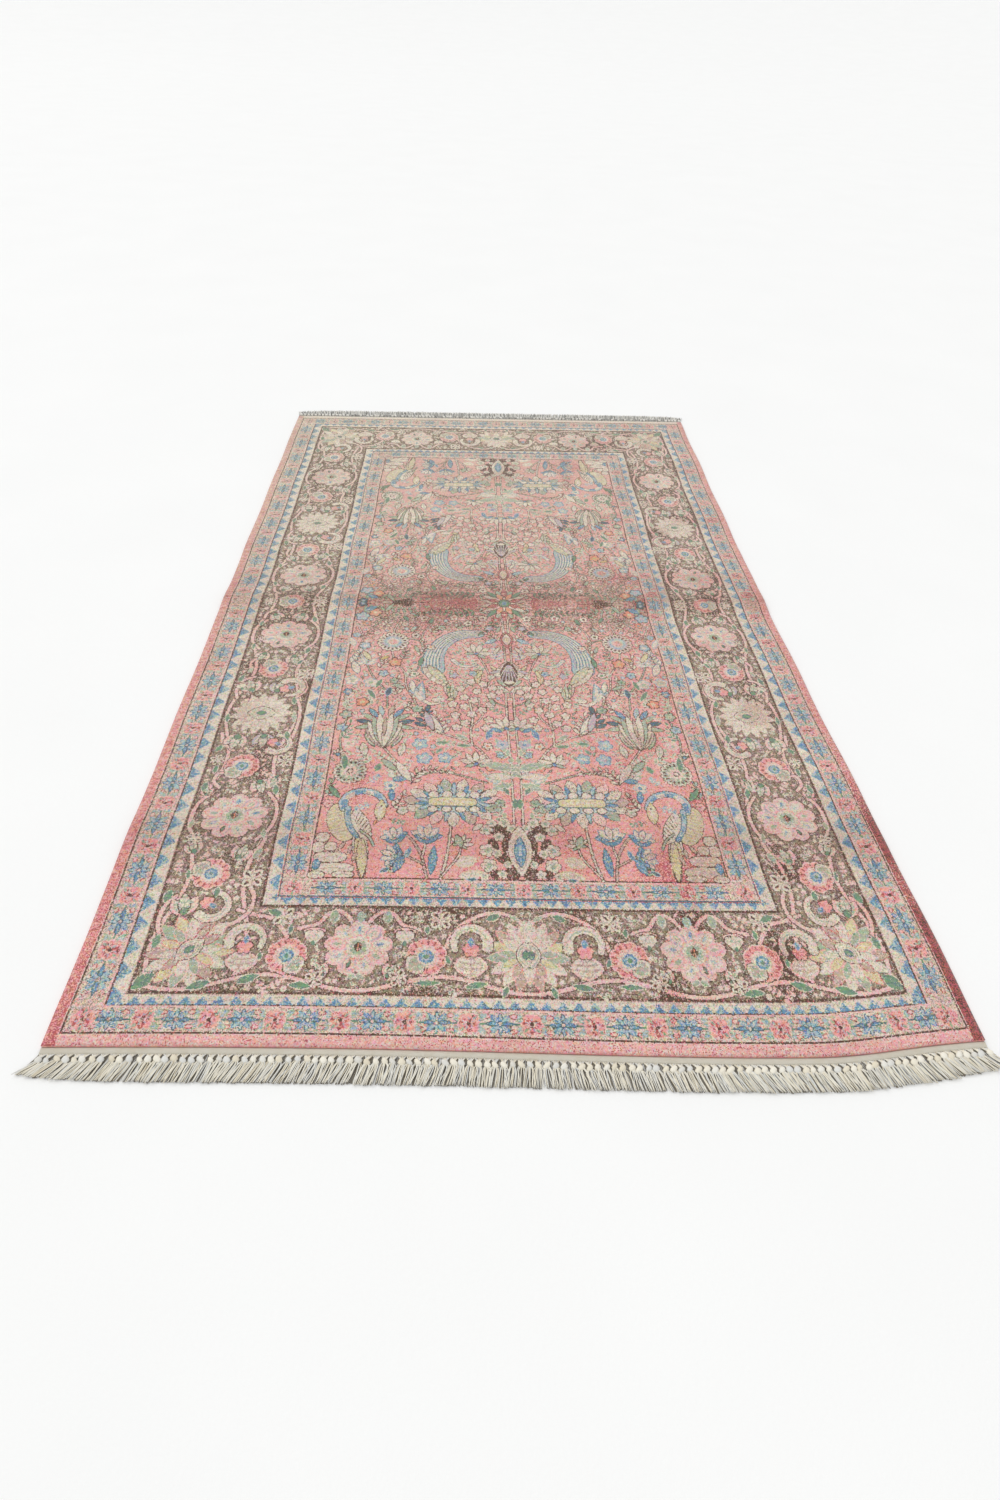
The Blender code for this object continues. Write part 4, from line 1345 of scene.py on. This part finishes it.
# %% The fringe
TASSELS = 114
TASSEL_DEPTH = {"near": 0.034, "far": 0.044}
KNOT_OUT = 0.0062       # from the flat weave to the middle of a knot
KNOT_SIZE = (0.0045, 0.0044, 0.0021)
TOP_CORDS = 8
LOW_CORDS = 8
WARPS = 5
CORD_RADIUS = {"top": 0.00078, "low": 0.00062}
CORD_RINGS = 7
CORD_SIDES = 4
LEAN = {"near": 0.011, "far": 0.004}
CORNER_LEAN = {"near": 0.009, "far": 0.001}
CORNER_SHORTEN = 0.30
CORNER_POWER = 10
LEAN_START = 0.16       # share of the width over which the lean sets in
LEAN_CHANCE = 0.0012
WANDER = ((0.0022, 31), (0.0018, 67))   # depth and pace of the slow waves in the lean
MOUTH = 0.0060          # width of a tassel's cords at its knot
SPREAD = 0.0118         # and where they are cut
DRAW_IN = 0.0088        # width of its warps at the flat weave
TOP_HEIGHT = 0.0022
KNOT_HEIGHT = 0.0029


def tubes(path, radius, sides, turn=0.6):
    """Closed tubes along paths of shape (tubes, rings, 3) that lie mostly flat: each ring stands on the
    path's slope in plan, its points at radius * (cos, sin) of sides even angles."""
    slope = np.gradient(path, axis=1)
    length = np.hypot(slope[..., 0], slope[..., 1])[..., None]
    beside = np.stack((slope[..., 1], -slope[..., 0]), -1) / np.maximum(length, 1e-9)
    beside = np.concatenate((beside, 0 * length), -1)
    up = np.array((0.0, 0.0, 1.0))
    angle = (np.arange(sides) / sides * 2 * np.pi + turn)[:, None]
    radius = np.broadcast_to(radius, path.shape[:2])[..., None, None]
    return path[..., None, :] + radius * (np.cos(angle) * beside[..., None, :] + np.sin(angle) * up)


def tassel_places(end, name, random):
    """For each tassel: where it leaves the edge, its lean and its length. The lean grows from none in the
    middle and wanders by a few millimetres, and the corners lean further and are shorter."""
    middle = (np.arange(TASSELS) + 0.5) / TASSELS - 0.5
    middle = middle + random.uniform(-0.10, 0.10, TASSELS) / TASSELS
    corner = np.abs(2 * middle) ** CORNER_POWER
    outward = LEAN[name] * np.clip(np.abs(middle) / LEAN_START, 0, 1) + CORNER_LEAN[name] * corner
    wander = sum(depth * np.sin(middle * pace + random.uniform(0, 6)) for depth, pace in WANDER)
    lean = np.sign(middle) * outward + wander * (1 - corner) + random.normal(0, LEAN_CHANCE, TASSELS)
    length = TASSEL_DEPTH[name] * (1 - CORNER_SHORTEN * corner) + random.uniform(-0.0006, 0.0006, TASSELS)
    return np.stack(end_edge(end, middle), -1), lean, length


print(TASSELS, "tassels an end, of", TOP_CORDS, "upper and", LOW_CORDS, "lower cords each")

# %% [markdown]
# Each kind of cord is laid along its own path, and the knots are flattened balls. All parts of one end are
# one mesh, from arrays of tassel, cord, ring and side.

# %% Cords, warps and knots
def paths(x, y, z):
    """Three arrays of tassel, cord and ring as one array of paths."""
    path = np.stack(np.broadcast_arrays(x, y, z), -1)
    return path.reshape(-1, *path.shape[2:])


def top_cords(end, start, lean, length, random):
    """The cords below the knots: each leaves its knot, spreads by its rank and a little chance, wavers, and
    comes down to lie on the lower ones. Neighbours lie at slightly different heights."""
    shape = (TASSELS, TOP_CORDS, 1)
    rank = np.linspace(-0.5, 0.5, TOP_CORDS)[:, None]
    s = np.linspace(0, 1, CORD_RINGS)
    spread = rank * SPREAD + random.normal(0, 0.0014, shape)
    waver = random.normal(0, 0.0007, shape) * np.sin(np.pi * s * random.uniform(1, 2.2, shape))
    reach = length - KNOT_OUT - KNOT_SIZE[1] * 0.5 + random.normal(0, 0.0004, shape)
    x = (start[..., 0] + rank * MOUTH * (1 - s) + spread * s ** 0.45
         + lean * s ** 1.1 + waver)
    y = start[..., 1] + end * (KNOT_SIZE[1] * 0.5 + reach * s)
    z = TOP_HEIGHT + random.uniform(0, 0.0010, shape) + 0.0003 * (1 - s)
    thin = CORD_RADIUS["top"] * (1 - 0.35 * np.linspace(0, 1, CORD_RINGS) ** 3)
    return tubes(paths(x, y, z), thin, CORD_SIDES)


def low_cords(end, edge_place, lean, length, random):
    """The lower layer: even cords from the flat weave to the cut line, flat on the floor."""
    shape = (TASSELS, LOW_CORDS, 1)
    rank = (np.arange(LOW_CORDS)[:, None] + 0.5) / LOW_CORDS - 0.5
    s = np.linspace(0, 1, CORD_RINGS)
    pitch = RUG_WIDTH / TASSELS
    x = (edge_place[..., 0] + rank * pitch + random.normal(0, 0.0003, shape)
         + lean * s ** 1.2 + random.normal(0, 0.0006, shape) * s)
    reach = length + random.normal(0, 0.0005, shape)
    y = edge_place[..., 1] + end * (KILIM_DEPTH - 0.0012 + (reach + 0.0008) * s)
    return tubes(paths(x, y, CORD_RADIUS["low"] * 1.1), CORD_RADIUS["low"], CORD_SIDES)


def drawn_warps(end, start, edge_place):
    """The warps between the flat weave and the knot, which draw in from a whole pitch to the knot."""
    rank = np.linspace(-0.5, 0.5, WARPS)[:, None]
    s = np.linspace(0, 1, 4)
    width = DRAW_IN - MOUTH * s ** 0.6
    x = edge_place[..., 0] * (1 - s) + start[..., 0] * s + rank * width
    y = edge_place[..., 1] + end * (KILIM_DEPTH - 0.0006 + (KNOT_OUT - 0.0006) * s)
    return tubes(paths(x, y, 0.0018 + 0.0006 * s), CORD_RADIUS["top"], CORD_SIDES)


def tied_knots(start, lean, random):
    """One knot a tassel: a flattened ball whose radius swells twice round it, along a slanted line, like
    the wraps of an overhand knot."""
    rings, sides = 7, 10
    polar = np.linspace(0.08, np.pi - 0.08, rings)[:, None]
    angle = np.arange(sides) / sides * 2 * np.pi
    phase = random.uniform(-0.6, 0.6, (TASSELS, 1, 1))
    swell = 1 + 0.18 * np.sin(2 * angle + 2.2 * (polar - 0.5 * np.pi) + phase)
    grow = random.uniform(0.84, 1.10, (TASSELS, 1, 1))
    across = KNOT_SIZE[0] * grow * swell * np.sin(polar) * np.cos(angle)
    along = KNOT_SIZE[1] * grow * np.cos(polar)
    height = KNOT_SIZE[2] * swell * np.sin(polar) * np.sin(angle)
    slant = 0.35 * np.sign(lean) + random.normal(0, 0.15, (TASSELS, 1, 1))
    return np.stack(np.broadcast_arrays(start[..., 0] + across + slant * along,
                                        start[..., 1] + along, KNOT_HEIGHT + height), -1)


def fringe(end, name, seed):
    """Cords, warps and knots of one end in one mesh, with a number from 0 to 1 for each part's shade."""
    random = np.random.default_rng(seed)
    edge_place, lean, length = tassel_places(end, name, random)
    start = edge_place + np.array((0.0, end * (KILIM_DEPTH + KNOT_OUT)))
    start[:, 0] += 0.16 * lean + random.normal(0, 0.0004, TASSELS)
    start[:, 1] += random.normal(0, 0.0006, TASSELS)
    start, edge_place, lean, length = (part[:, None, None] for part in (start, edge_place, lean, length))
    parts = (low_cords(end, edge_place, lean, length, random), top_cords(end, start, lean, length, random),
             drawn_warps(end, start, edge_place), tied_knots(start, lean, random))
    points, faces, shades = [], [], []
    offset = 0
    for part in parts:
        count, rings, sides = part.shape[:3]
        quads = tube_faces(rings, sides, count) + offset
        first = offset + np.arange(count)[:, None] * rings * sides
        last = first + (rings - 1) * sides
        faces += quads.tolist()
        faces += np.concatenate((first + np.arange(sides)[::-1], last + np.arange(sides))).tolist()
        shades += np.repeat(random.uniform(0, 1, count), rings * sides).tolist()
        points.append(part.reshape(-1, 3))
        offset += count * rings * sides
    piece = make_piece(f"fringe_cords_{name}", np.concatenate(points), faces)
    shade = piece.data.attributes.new("shade", "FLOAT", "POINT")
    shade.data.foreach_set("value", np.array(shades, np.float32))
    return piece


fringes = [fringe(-1, "near", 31), fringe(1, "far", 32)]
for piece in fringes:
    report(piece)

# %% [markdown]
# Finishes are written as sums. One small class wraps a socket that carries a number, so that ordinary Python
# arithmetic adds the Math nodes.

# %% Sums on sockets
class Value:
    """A number that varies over a surface."""

    def __init__(self, finish, socket):
        self.finish = finish
        self.socket = socket

    def math(self, operation, *others, clamp=False):
        """One Math node on this number and perhaps others."""
        sockets = dict(enumerate((self, *others)))
        return self.finish.node("ShaderNodeMath", {"operation": operation, "use_clamp": clamp}, sockets)

    def __add__(self, other):
        return self.math("ADD", other)

    def __sub__(self, other):
        return self.math("SUBTRACT", other)

    def __rsub__(self, other):
        return self.finish.value(other).math("SUBTRACT", self)

    def __mul__(self, other):
        return self.math("MULTIPLY", other)

    def __truediv__(self, other):
        return self.math("DIVIDE", other)

    def __gt__(self, other):
        return self.math("GREATER_THAN", other)

    __radd__ = __add__
    __rmul__ = __mul__

    def floor(self):
        return self.math("FLOOR")

    def clamp(self):
        return self.math("ADD", 0.0, clamp=True)

    def between(self, low, high):
        """Held between two numbers."""
        return self.math("MAXIMUM", low).math("MINIMUM", high)

    def bell(self):
        """exp(-value * value)"""
        return (self * self * -1.0).math("EXPONENT")


print("sums on sockets ready")

# %% [markdown]
# A finish is a material. Its one method for nodes takes their settings and the links or numbers of their
# sockets, and shorter methods for mixes, noise and the shader itself rest on it.

# %% Nodes in one call
class Finish:
    """A material whose nodes are made one call at a time."""

    def __init__(self, name):
        self.material = bpy.data.materials.new(name)
        self.material.use_nodes = True
        self.tree = self.material.node_tree
        self.tree.nodes.clear()
        self.place = self.node("ShaderNodeTexCoord", output="Object")
        self.x, self.y, self.z = (self.node("ShaderNodeSeparateXYZ", None, {0: self.place}, axis)
                                  for axis in "XYZ")

    def node(self, kind, settings=None, sockets=None, output=0):
        """A node of any kind: its settings first, a ramp's stops among them, then the values or links of its
        sockets. The result is the output that is named or numbered."""
        made = self.tree.nodes.new(kind)
        for name, setting in (settings or {}).items():
            if name in ("stops", "steps"):
                self.set_ramp(made.color_ramp, setting, "CONSTANT" if name == "steps" else "LINEAR")
            else:
                setattr(made, name, setting)
        for key, given in (sockets or {}).items():
            if isinstance(given, Value):
                self.tree.links.new(given.socket, made.inputs[key])
            else:
                made.inputs[key].default_value = given
        return Value(self, made.outputs[output]) if made.outputs else made

    @staticmethod
    def set_ramp(ramp, stops, interpolation):
        """Stops are (position, colour), in order. Steps hold their colour up to the next one."""
        ramp.interpolation = interpolation
        ramp.elements.remove(ramp.elements[1])
        ramp.elements[0].position, ramp.elements[0].color = stops[0][0], (*stops[0][1], 1)
        for position, colour in stops[1:]:
            ramp.elements.new(position).color = (*colour, 1)

    def value(self, number):
        """A plain number as a node, for the left side of a difference."""
        made = self.tree.nodes.new("ShaderNodeValue")
        made.outputs[0].default_value = number
        return Value(self, made.outputs[0])

    def mix(self, factor, first, second, blend="MIX"):
        """One colour into another."""
        first, second = ((*c, 1.0) if isinstance(c, tuple) and len(c) == 3 else c for c in (first, second))
        settings = {"data_type": "RGBA", "blend_type": blend}
        return self.node("ShaderNodeMix", settings, {0: factor, 6: first, 7: second}, 2)

    def noise(self, scale, detail=2.0, stretch=(1, 1, 1), roughness=0.5, output=0):
        """Noise over the piece, from 0 to 1, stretched along the axes, or three of them as a colour."""
        vector = self.node("ShaderNodeMapping", None, {"Vector": self.place, "Scale": stretch})
        sockets = {"Vector": vector, "Scale": scale, "Detail": detail, "Roughness": roughness}
        return self.node("ShaderNodeTexNoise", None, sockets, output)

    def close(self, colour, roughness, height, distance, **constants):
        """The shader itself: linked colour, roughness and bump, and constants on its own sockets."""
        bump = self.node("ShaderNodeBump", None, {"Height": height, "Distance": distance, "Strength": 1.0})
        sockets = {"Base Color": colour, "Roughness": roughness, "Normal": bump}
        sockets.update({name.replace("_", " "): number for name, number in constants.items()})
        shader = self.node("ShaderNodeBsdfPrincipled", None, sockets)
        self.node("ShaderNodeOutputMaterial", None, {"Surface": shader})
        return self.material


def linear(red, green, blue):
    """A colour as the eye sees it, 0 to 255, as the light that a shader works with."""
    shares = np.array((red, green, blue)) / 255
    return tuple(np.where(shares <= 0.04045, shares / 12.92, ((shares + 0.055) / 1.055) ** 2.4).tolist())


print("cream as light:", [round(part, 3) for part in linear(*YARNS["c"][0])])

# %% [markdown]
# The silk finish reads the chart. The map on each face gives the column and row of a knot. The row picks the
# number, and the column its digit: the number over 16 ** column, rounded down, less 16 times that over 16
# again. The digit picks one of sixteen flat stops in two ramps, for the fresh and the faded yarn. Over it
# lie worn blotches, a paleness most in the far part that is partly fading and partly painted sheen, dark
# streaks across, and painted shade that makes the folds darker and browner.

# %% Silk pile
KNOT = 0.00127
RAGGED = (0.9, 0.7)     # how far a knot's sides and ends stray, in knots
HEM = 0.001             # clear space inside the edge of a block, in knots
# the far end paler, most on the left: partly the silk's fading and partly painted sheen
FADE_AND_SHEEN = {"start": -0.75, "length": 1.75, "middle": 0.75, "left": 0.7, "blotches": 0.5}
SHADE = {"base": 0.86, "knot": 0.28, "streak": 0.46, "far streak": 0.36, "blotch": 0.30}
# painted shade: the folds are darkened in the colour, where light falls on their slopes
FOLD_PAINTED_SHADES = (  # along, depth, half width, tilt
    (-0.010, 0.13, 0.016, 0.018), (-0.004, 0.07, 0.060, 0.018), (-0.690, 0.15, 0.050, -0.012),
    (0.075, 0.07, 0.050, 0.018),
)
FOLD_SHADE_CAST = (0.35, 0.45)    # how much more of its green and of its blue a fold loses


def yarn_number(f):
    """The yarn of the knot at each place, taken out of the face's packed rows."""
    square = f.node("ShaderNodeUVMap", {"uv_map": "knots"})
    column, row = (f.node("ShaderNodeSeparateXYZ", None, {0: square}, axis) for axis in "XY")
    column = (column + (f.noise(900, 1.0) - 0.5) * RAGGED[0]).between(HEM, BLOCK - HEM)
    row = (row + (f.noise(860, 1.0, (1.1, 0.9, 1)) - 0.5) * RAGGED[1]).between(HEM, BLOCK - HEM)
    number, divisor = 0.5, 1.0
    for step in range(BLOCK):
        chosen = (row > step) * (1.0 - (row > step + 1)) if step else 1.0 - (row > 1)
        stored = f.node("ShaderNodeAttribute", {"attribute_name": f"yarns_{step}"}, None, "Fac")
        number = stored * chosen + number
        if step:
            divisor = (column > step) * float(PACK[step] - PACK[step - 1]) + divisor
    digits = (number / divisor).floor()
    return digits - (digits / 16.0).floor() * 16.0


def knotted_silk(name, bump, far_fade_and_sheen):
    """The finish of the pile, and of the back with another bump, less fading and no painted sheen."""
    f = Finish(name)
    place = (yarn_number(f) + 0.5) / 16.0
    ramps = ([(code / 16, linear(*ages[age])) for code, ages in enumerate(YARNS.values())] for age in (0, 1))
    fresh, faded = (f.node("ShaderNodeValToRGB", {"steps": steps}, {0: place}) for steps in ramps)

    blotches = f.noise(7, 4.0, roughness=0.6)
    x, y = f.x - shift[0], f.y - shift[1]
    far = ((y - FADE_AND_SHEEN["start"]) / FADE_AND_SHEEN["length"]).clamp()
    left = (FADE_AND_SHEEN["middle"] - x / RUG_WIDTH * FADE_AND_SHEEN["left"]).clamp()
    # worn blotches, and a far end made paler by fading and by painted sheen
    worn_and_sheen = (far * left * far_fade_and_sheen + (blotches - 0.5) * FADE_AND_SHEEN["blotches"]).clamp()
    colour = f.mix(worn_and_sheen, fresh, faded)
    # a colour speckle of a few millimetres, partly random tint and partly painted silk sheen
    colour = f.mix(0.8, colour, f.noise(190, 3.0, output="Color"), "SOFT_LIGHT")

    cell = f.node("ShaderNodeCombineXYZ", None, {0: (f.x / KNOT).floor(), 1: (f.y / KNOT).floor()})
    single = f.node("ShaderNodeTexWhiteNoise", {"noise_dimensions": "2D"}, {"Vector": cell}, "Value")
    streaks = f.noise(16, 3.0, (0.5, 26, 1), 0.7)
    shade = (SHADE["base"] + single * SHADE["knot"] + (blotches - 0.5) * SHADE["blotch"]
             + (streaks - 0.5) * (SHADE["streak"] + far * SHADE["far streak"]))

    # painted shade along the folds, patchy, and browner than the rest
    dark = 0.0
    for along, depth, half_width, tilt in FOLD_PAINTED_SHADES:
        dark = ((y - along - tilt * x) / half_width).bell() * depth + dark
    dark = dark * (f.noise(14, 3.0, (1, 0.5, 1), 0.6) * 3.4 - 0.8).clamp()
    shade = shade * (1.0 - dark)
    tint = f.node("ShaderNodeCombineColor", None, {0: shade, 1: shade * (1.0 - dark * FOLD_SHADE_CAST[0]),
                                                   2: shade * (1.0 - dark * FOLD_SHADE_CAST[1])})
    colour = f.mix(1.0, colour, tint, "MULTIPLY")

    pile_height = single * 0.5 + streaks * 1.2 + f.noise(420, 2.0) * 0.8
    return f.close(colour, 0.58 + single * 0.14, pile_height, bump, Sheen_Weight=0.25, Sheen_Roughness=0.45,
                   Sheen_Tint=(1.0, 0.95, 0.9, 1.0), Specular_IOR_Level=0.28)


knotted_pile.data.materials.append(knotted_silk("silk pile", 0.0006, 1.0))
woven_back.data.materials.append(knotted_silk("woven silk back", 0.0003, 0.0))
print("silk pile reads", BLOCK * BLOCK, "knots a face")

# %% [markdown]
# The sides are wound with rose silk, paler on their crest. Flat weave and fringe are undyed warp
# yarn, ivory with grey and straw casts, and each cord has its own shade and a fine twist.

# %% Side silk, flat weave and fringe yarn
def side_silk():
    """Rose silk in turns: noise drawn out round the side, and a bump of fine threads."""
    f = Finish("overcast silk")
    turns = f.noise(300, 2.0, (0.2, 1, 0.2))
    patches = f.noise(9, 3.0)
    crest = ((f.z - 0.0030) * 500.0).clamp()
    colour = f.mix(turns, linear(176, 78, 76), linear(212, 120, 112))
    colour = f.mix((patches * 0.9).clamp(), colour, linear(150, 92, 82))
    colour = f.mix(crest * 0.30, colour, linear(222, 160, 148))
    return f.close(colour, 0.6 + turns * 0.15, f.noise(1400, 2.0, (0.3, 1, 0.3)), 0.0003, Sheen_Weight=0.2)


def ivory(f, tone):
    """Undyed yarn: straw, grey and ivory by a number from 0 to 1."""
    stops = [(0.0, linear(214, 200, 172)), (0.3, linear(238, 230, 210)), (0.6, linear(246, 241, 227)),
             (0.82, linear(226, 226, 222)), (1.0, linear(224, 216, 198))]
    return f.node("ShaderNodeValToRGB", {"stops": stops}, {0: tone})


def flat_weave():
    """Plain weave: fine checks of warp and weft in the bump, faint blotches in the ivory, and a painted
    shadow line along the seam with the pile.
    """
    f = Finish("plain flat weave")
    warp = (f.x * (2 * math.pi / 0.0016)).math("SINE")
    weft = (f.y * (2 * math.pi / 0.0011)).math("SINE")
    colour = ivory(f, f.noise(60, 3.0) * 0.7 + f.noise(900, 1.0) * 0.25)
    colour = f.mix((0.5 - warp * weft * 0.5) * 0.24, colour, linear(150, 138, 112))
    seam = f.node("ShaderNodeAttribute", {"attribute_name": "seam"}, None, "Fac")
    # painted shadow: a dark line along the seam under the pile's edge
    colour = f.mix((seam * (0.4 + f.noise(120, 2.0))).clamp(), colour, linear(112, 88, 72))
    return f.close(colour, 0.82 + f.noise(300) * 0.1, warp * weft, 0.0003)


def fringe_yarn():
    """Warp yarn: a shade for each cord, painted shadow low down, greyer at the far end with painted shadow on
    some of its cords, and a slanted twist in the bump."""
    f = Finish("fringe yarn")
    shade = f.node("ShaderNodeAttribute", {"attribute_name": "shade"}, None, "Fac")
    colour = ivory(f, (shade * 0.75 + f.noise(25, 2.0) * 0.35).clamp())
    low = ((0.0017 - f.z) / 0.0005).clamp()
    far = (f.y * 2.0).clamp()
    colour = f.mix(far * 0.7, colour, linear(236, 235, 231))
    # painted shadow: some far cords are darkened, standing for the dark gaps between them
    colour = f.mix((shade > 0.72) * far * 0.6, colour, linear(116, 114, 108))
    # painted shadow: the yarn darkens near the floor, as in the holes between the tassels
    colour = f.mix(low * 0.85, colour, linear(104, 94, 78))
    twist = ((f.x + f.y * 0.6) * (2 * math.pi / 0.0011)).math("SINE")
    return f.close(colour, 0.8 + shade * 0.1, twist + f.noise(1500, 2.0), 0.00006)


for piece in overcast:
    piece.data.materials.append(side_silk())
weave, yarn = flat_weave(), fringe_yarn()
for piece in flat_ends:
    piece.data.materials.append(weave)
for piece in fringes:
    piece.data.materials.append(yarn)
print(len(bpy.data.materials), "materials in the scene")

# %% [markdown]
# The rug lies on a plain pale floor in soft light. The camera stands at the near end, a little left of the
# middle, and looks down at about forty-five degrees through a wide lens.

# %% Floor, lights and camera
FLOOR_HEIGHT = -0.0006
BOWL = {"flat": 15.0, "reach": 60.0, "rise": 14.0, "rings": 9, "corners": 48}  # radii and height in metres


def floor():
    """A wide round sheet just under the rug. Past its flat part it sweeps up all round, by rise * t * t for
    the share t of the way out, so that no horizon shows."""
    radius, angle = np.meshgrid(np.append(0, np.linspace(BOWL["flat"], BOWL["reach"], BOWL["rings"])),
                                np.linspace(0, 2 * np.pi, BOWL["corners"] + 1), indexing="ij")
    share = np.clip((radius - BOWL["flat"]) / (BOWL["reach"] - BOWL["flat"]), 0, 1)
    height = BOWL["rise"] * share ** 2 + FLOOR_HEIGHT
    points = np.stack((radius * np.sin(angle), -radius * np.cos(angle), height), -1)
    faces = grid_faces(BOWL["corners"] + 1, BOWL["rings"] + 1, flip=True)
    piece = make_piece("pale_floor", points, faces.tolist())
    f = Finish("pale floor")
    colour = f.mix(f.noise(3, 2.0), linear(248, 248, 247), linear(252, 252, 251))
    piece.data.materials.append(f.close(colour, 0.75 + f.noise(40) * 0.1, f.noise(200), 0.0002))
    return piece


def soft_sun(name, place, strength, angle, colour):
    """A sun as wide as a window wall, which shines from a place towards the rug."""
    lamp = bpy.data.lights.new(name, "SUN")
    lamp.angle, lamp.energy, lamp.color = math.radians(angle), strength, colour
    light = bpy.data.objects.new(name, lamp)
    light.location = place
    light.rotation_euler = (-Vector(place)).to_track_quat("-Z", "Y").to_euler()
    bpy.context.scene.collection.objects.link(light)


floor()
soft_sun("window", (-1.6, 1.4, 2.4), 0.95, 40, (1.0, 0.985, 0.96))
world = bpy.data.worlds.new("soft studio")
world.use_nodes = True
background = world.node_tree.nodes["Background"]
background.inputs["Color"].default_value = (0.98, 0.99, 1.0, 1.0)
background.inputs["Strength"].default_value = 0.78
bpy.context.scene.world = world

VIEW = {"place": (-0.0850, -1.4385, 0.9494), "pitch": 44.78, "yaw": 3.676, "roll": 3.131, "lens": 18.0}


def camera():
    """The camera's axes: forward from its yaw and pitch, right and up turned by its roll about it."""
    yaw, pitch, roll = (math.radians(VIEW[name]) for name in ("yaw", "pitch", "roll"))
    forward = np.array((math.sin(yaw) * math.cos(pitch), math.cos(yaw) * math.cos(pitch), -math.sin(pitch)))
    right = np.array((math.cos(yaw), -math.sin(yaw), 0.0))
    up = np.cross(right, forward)
    right, up = right * math.cos(roll) + up * math.sin(roll), up * math.cos(roll) - right * math.sin(roll)
    lens = bpy.data.cameras.new("view")
    lens.lens, lens.sensor_width, lens.clip_start = VIEW["lens"], 36.0, 0.02
    eye = bpy.data.objects.new("view", lens)
    matrix = np.eye(4)
    matrix[:3] = np.stack((right, up, -forward, np.add(VIEW["place"], (*shift, 0))), 1)
    eye.matrix_world = Matrix(matrix.tolist())
    bpy.context.scene.collection.objects.link(eye)
    return eye


bpy.context.scene.camera = camera()
bpy.context.scene.view_settings.view_transform = "Standard"
print("camera at", [round(part, 3) for part in bpy.context.scene.camera.location])

# %% [markdown]
# Last, a table lists each piece, the nodes of the frame it stands for, and a slot. Each piece is hung under
# the root body, and the frame's nodes that it stands for are hidden.

# %% Every piece in its place
STANDS_FOR = (  # piece, nodes of the frame, slot
    (knotted_pile, ("rug_body",), "silk_pile"),
    (woven_back, (), "silk_pile"),
    (overcast[0], ("selvedge_left",), "selvedge_silk"),
    (overcast[1], ("selvedge_right",), "selvedge_silk"),
    (flat_ends[0], ("kilim_near",), "flat_weave"),
    (flat_ends[1], ("kilim_far",), "flat_weave"),
    (fringes[0], ("fringe_near",), "warp_yarn"),
    (fringes[1], ("fringe_far",), "warp_yarn"),
)
for piece, nodes, slot in STANDS_FOR:
    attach(piece, "root")
    if nodes:
        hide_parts(*nodes)
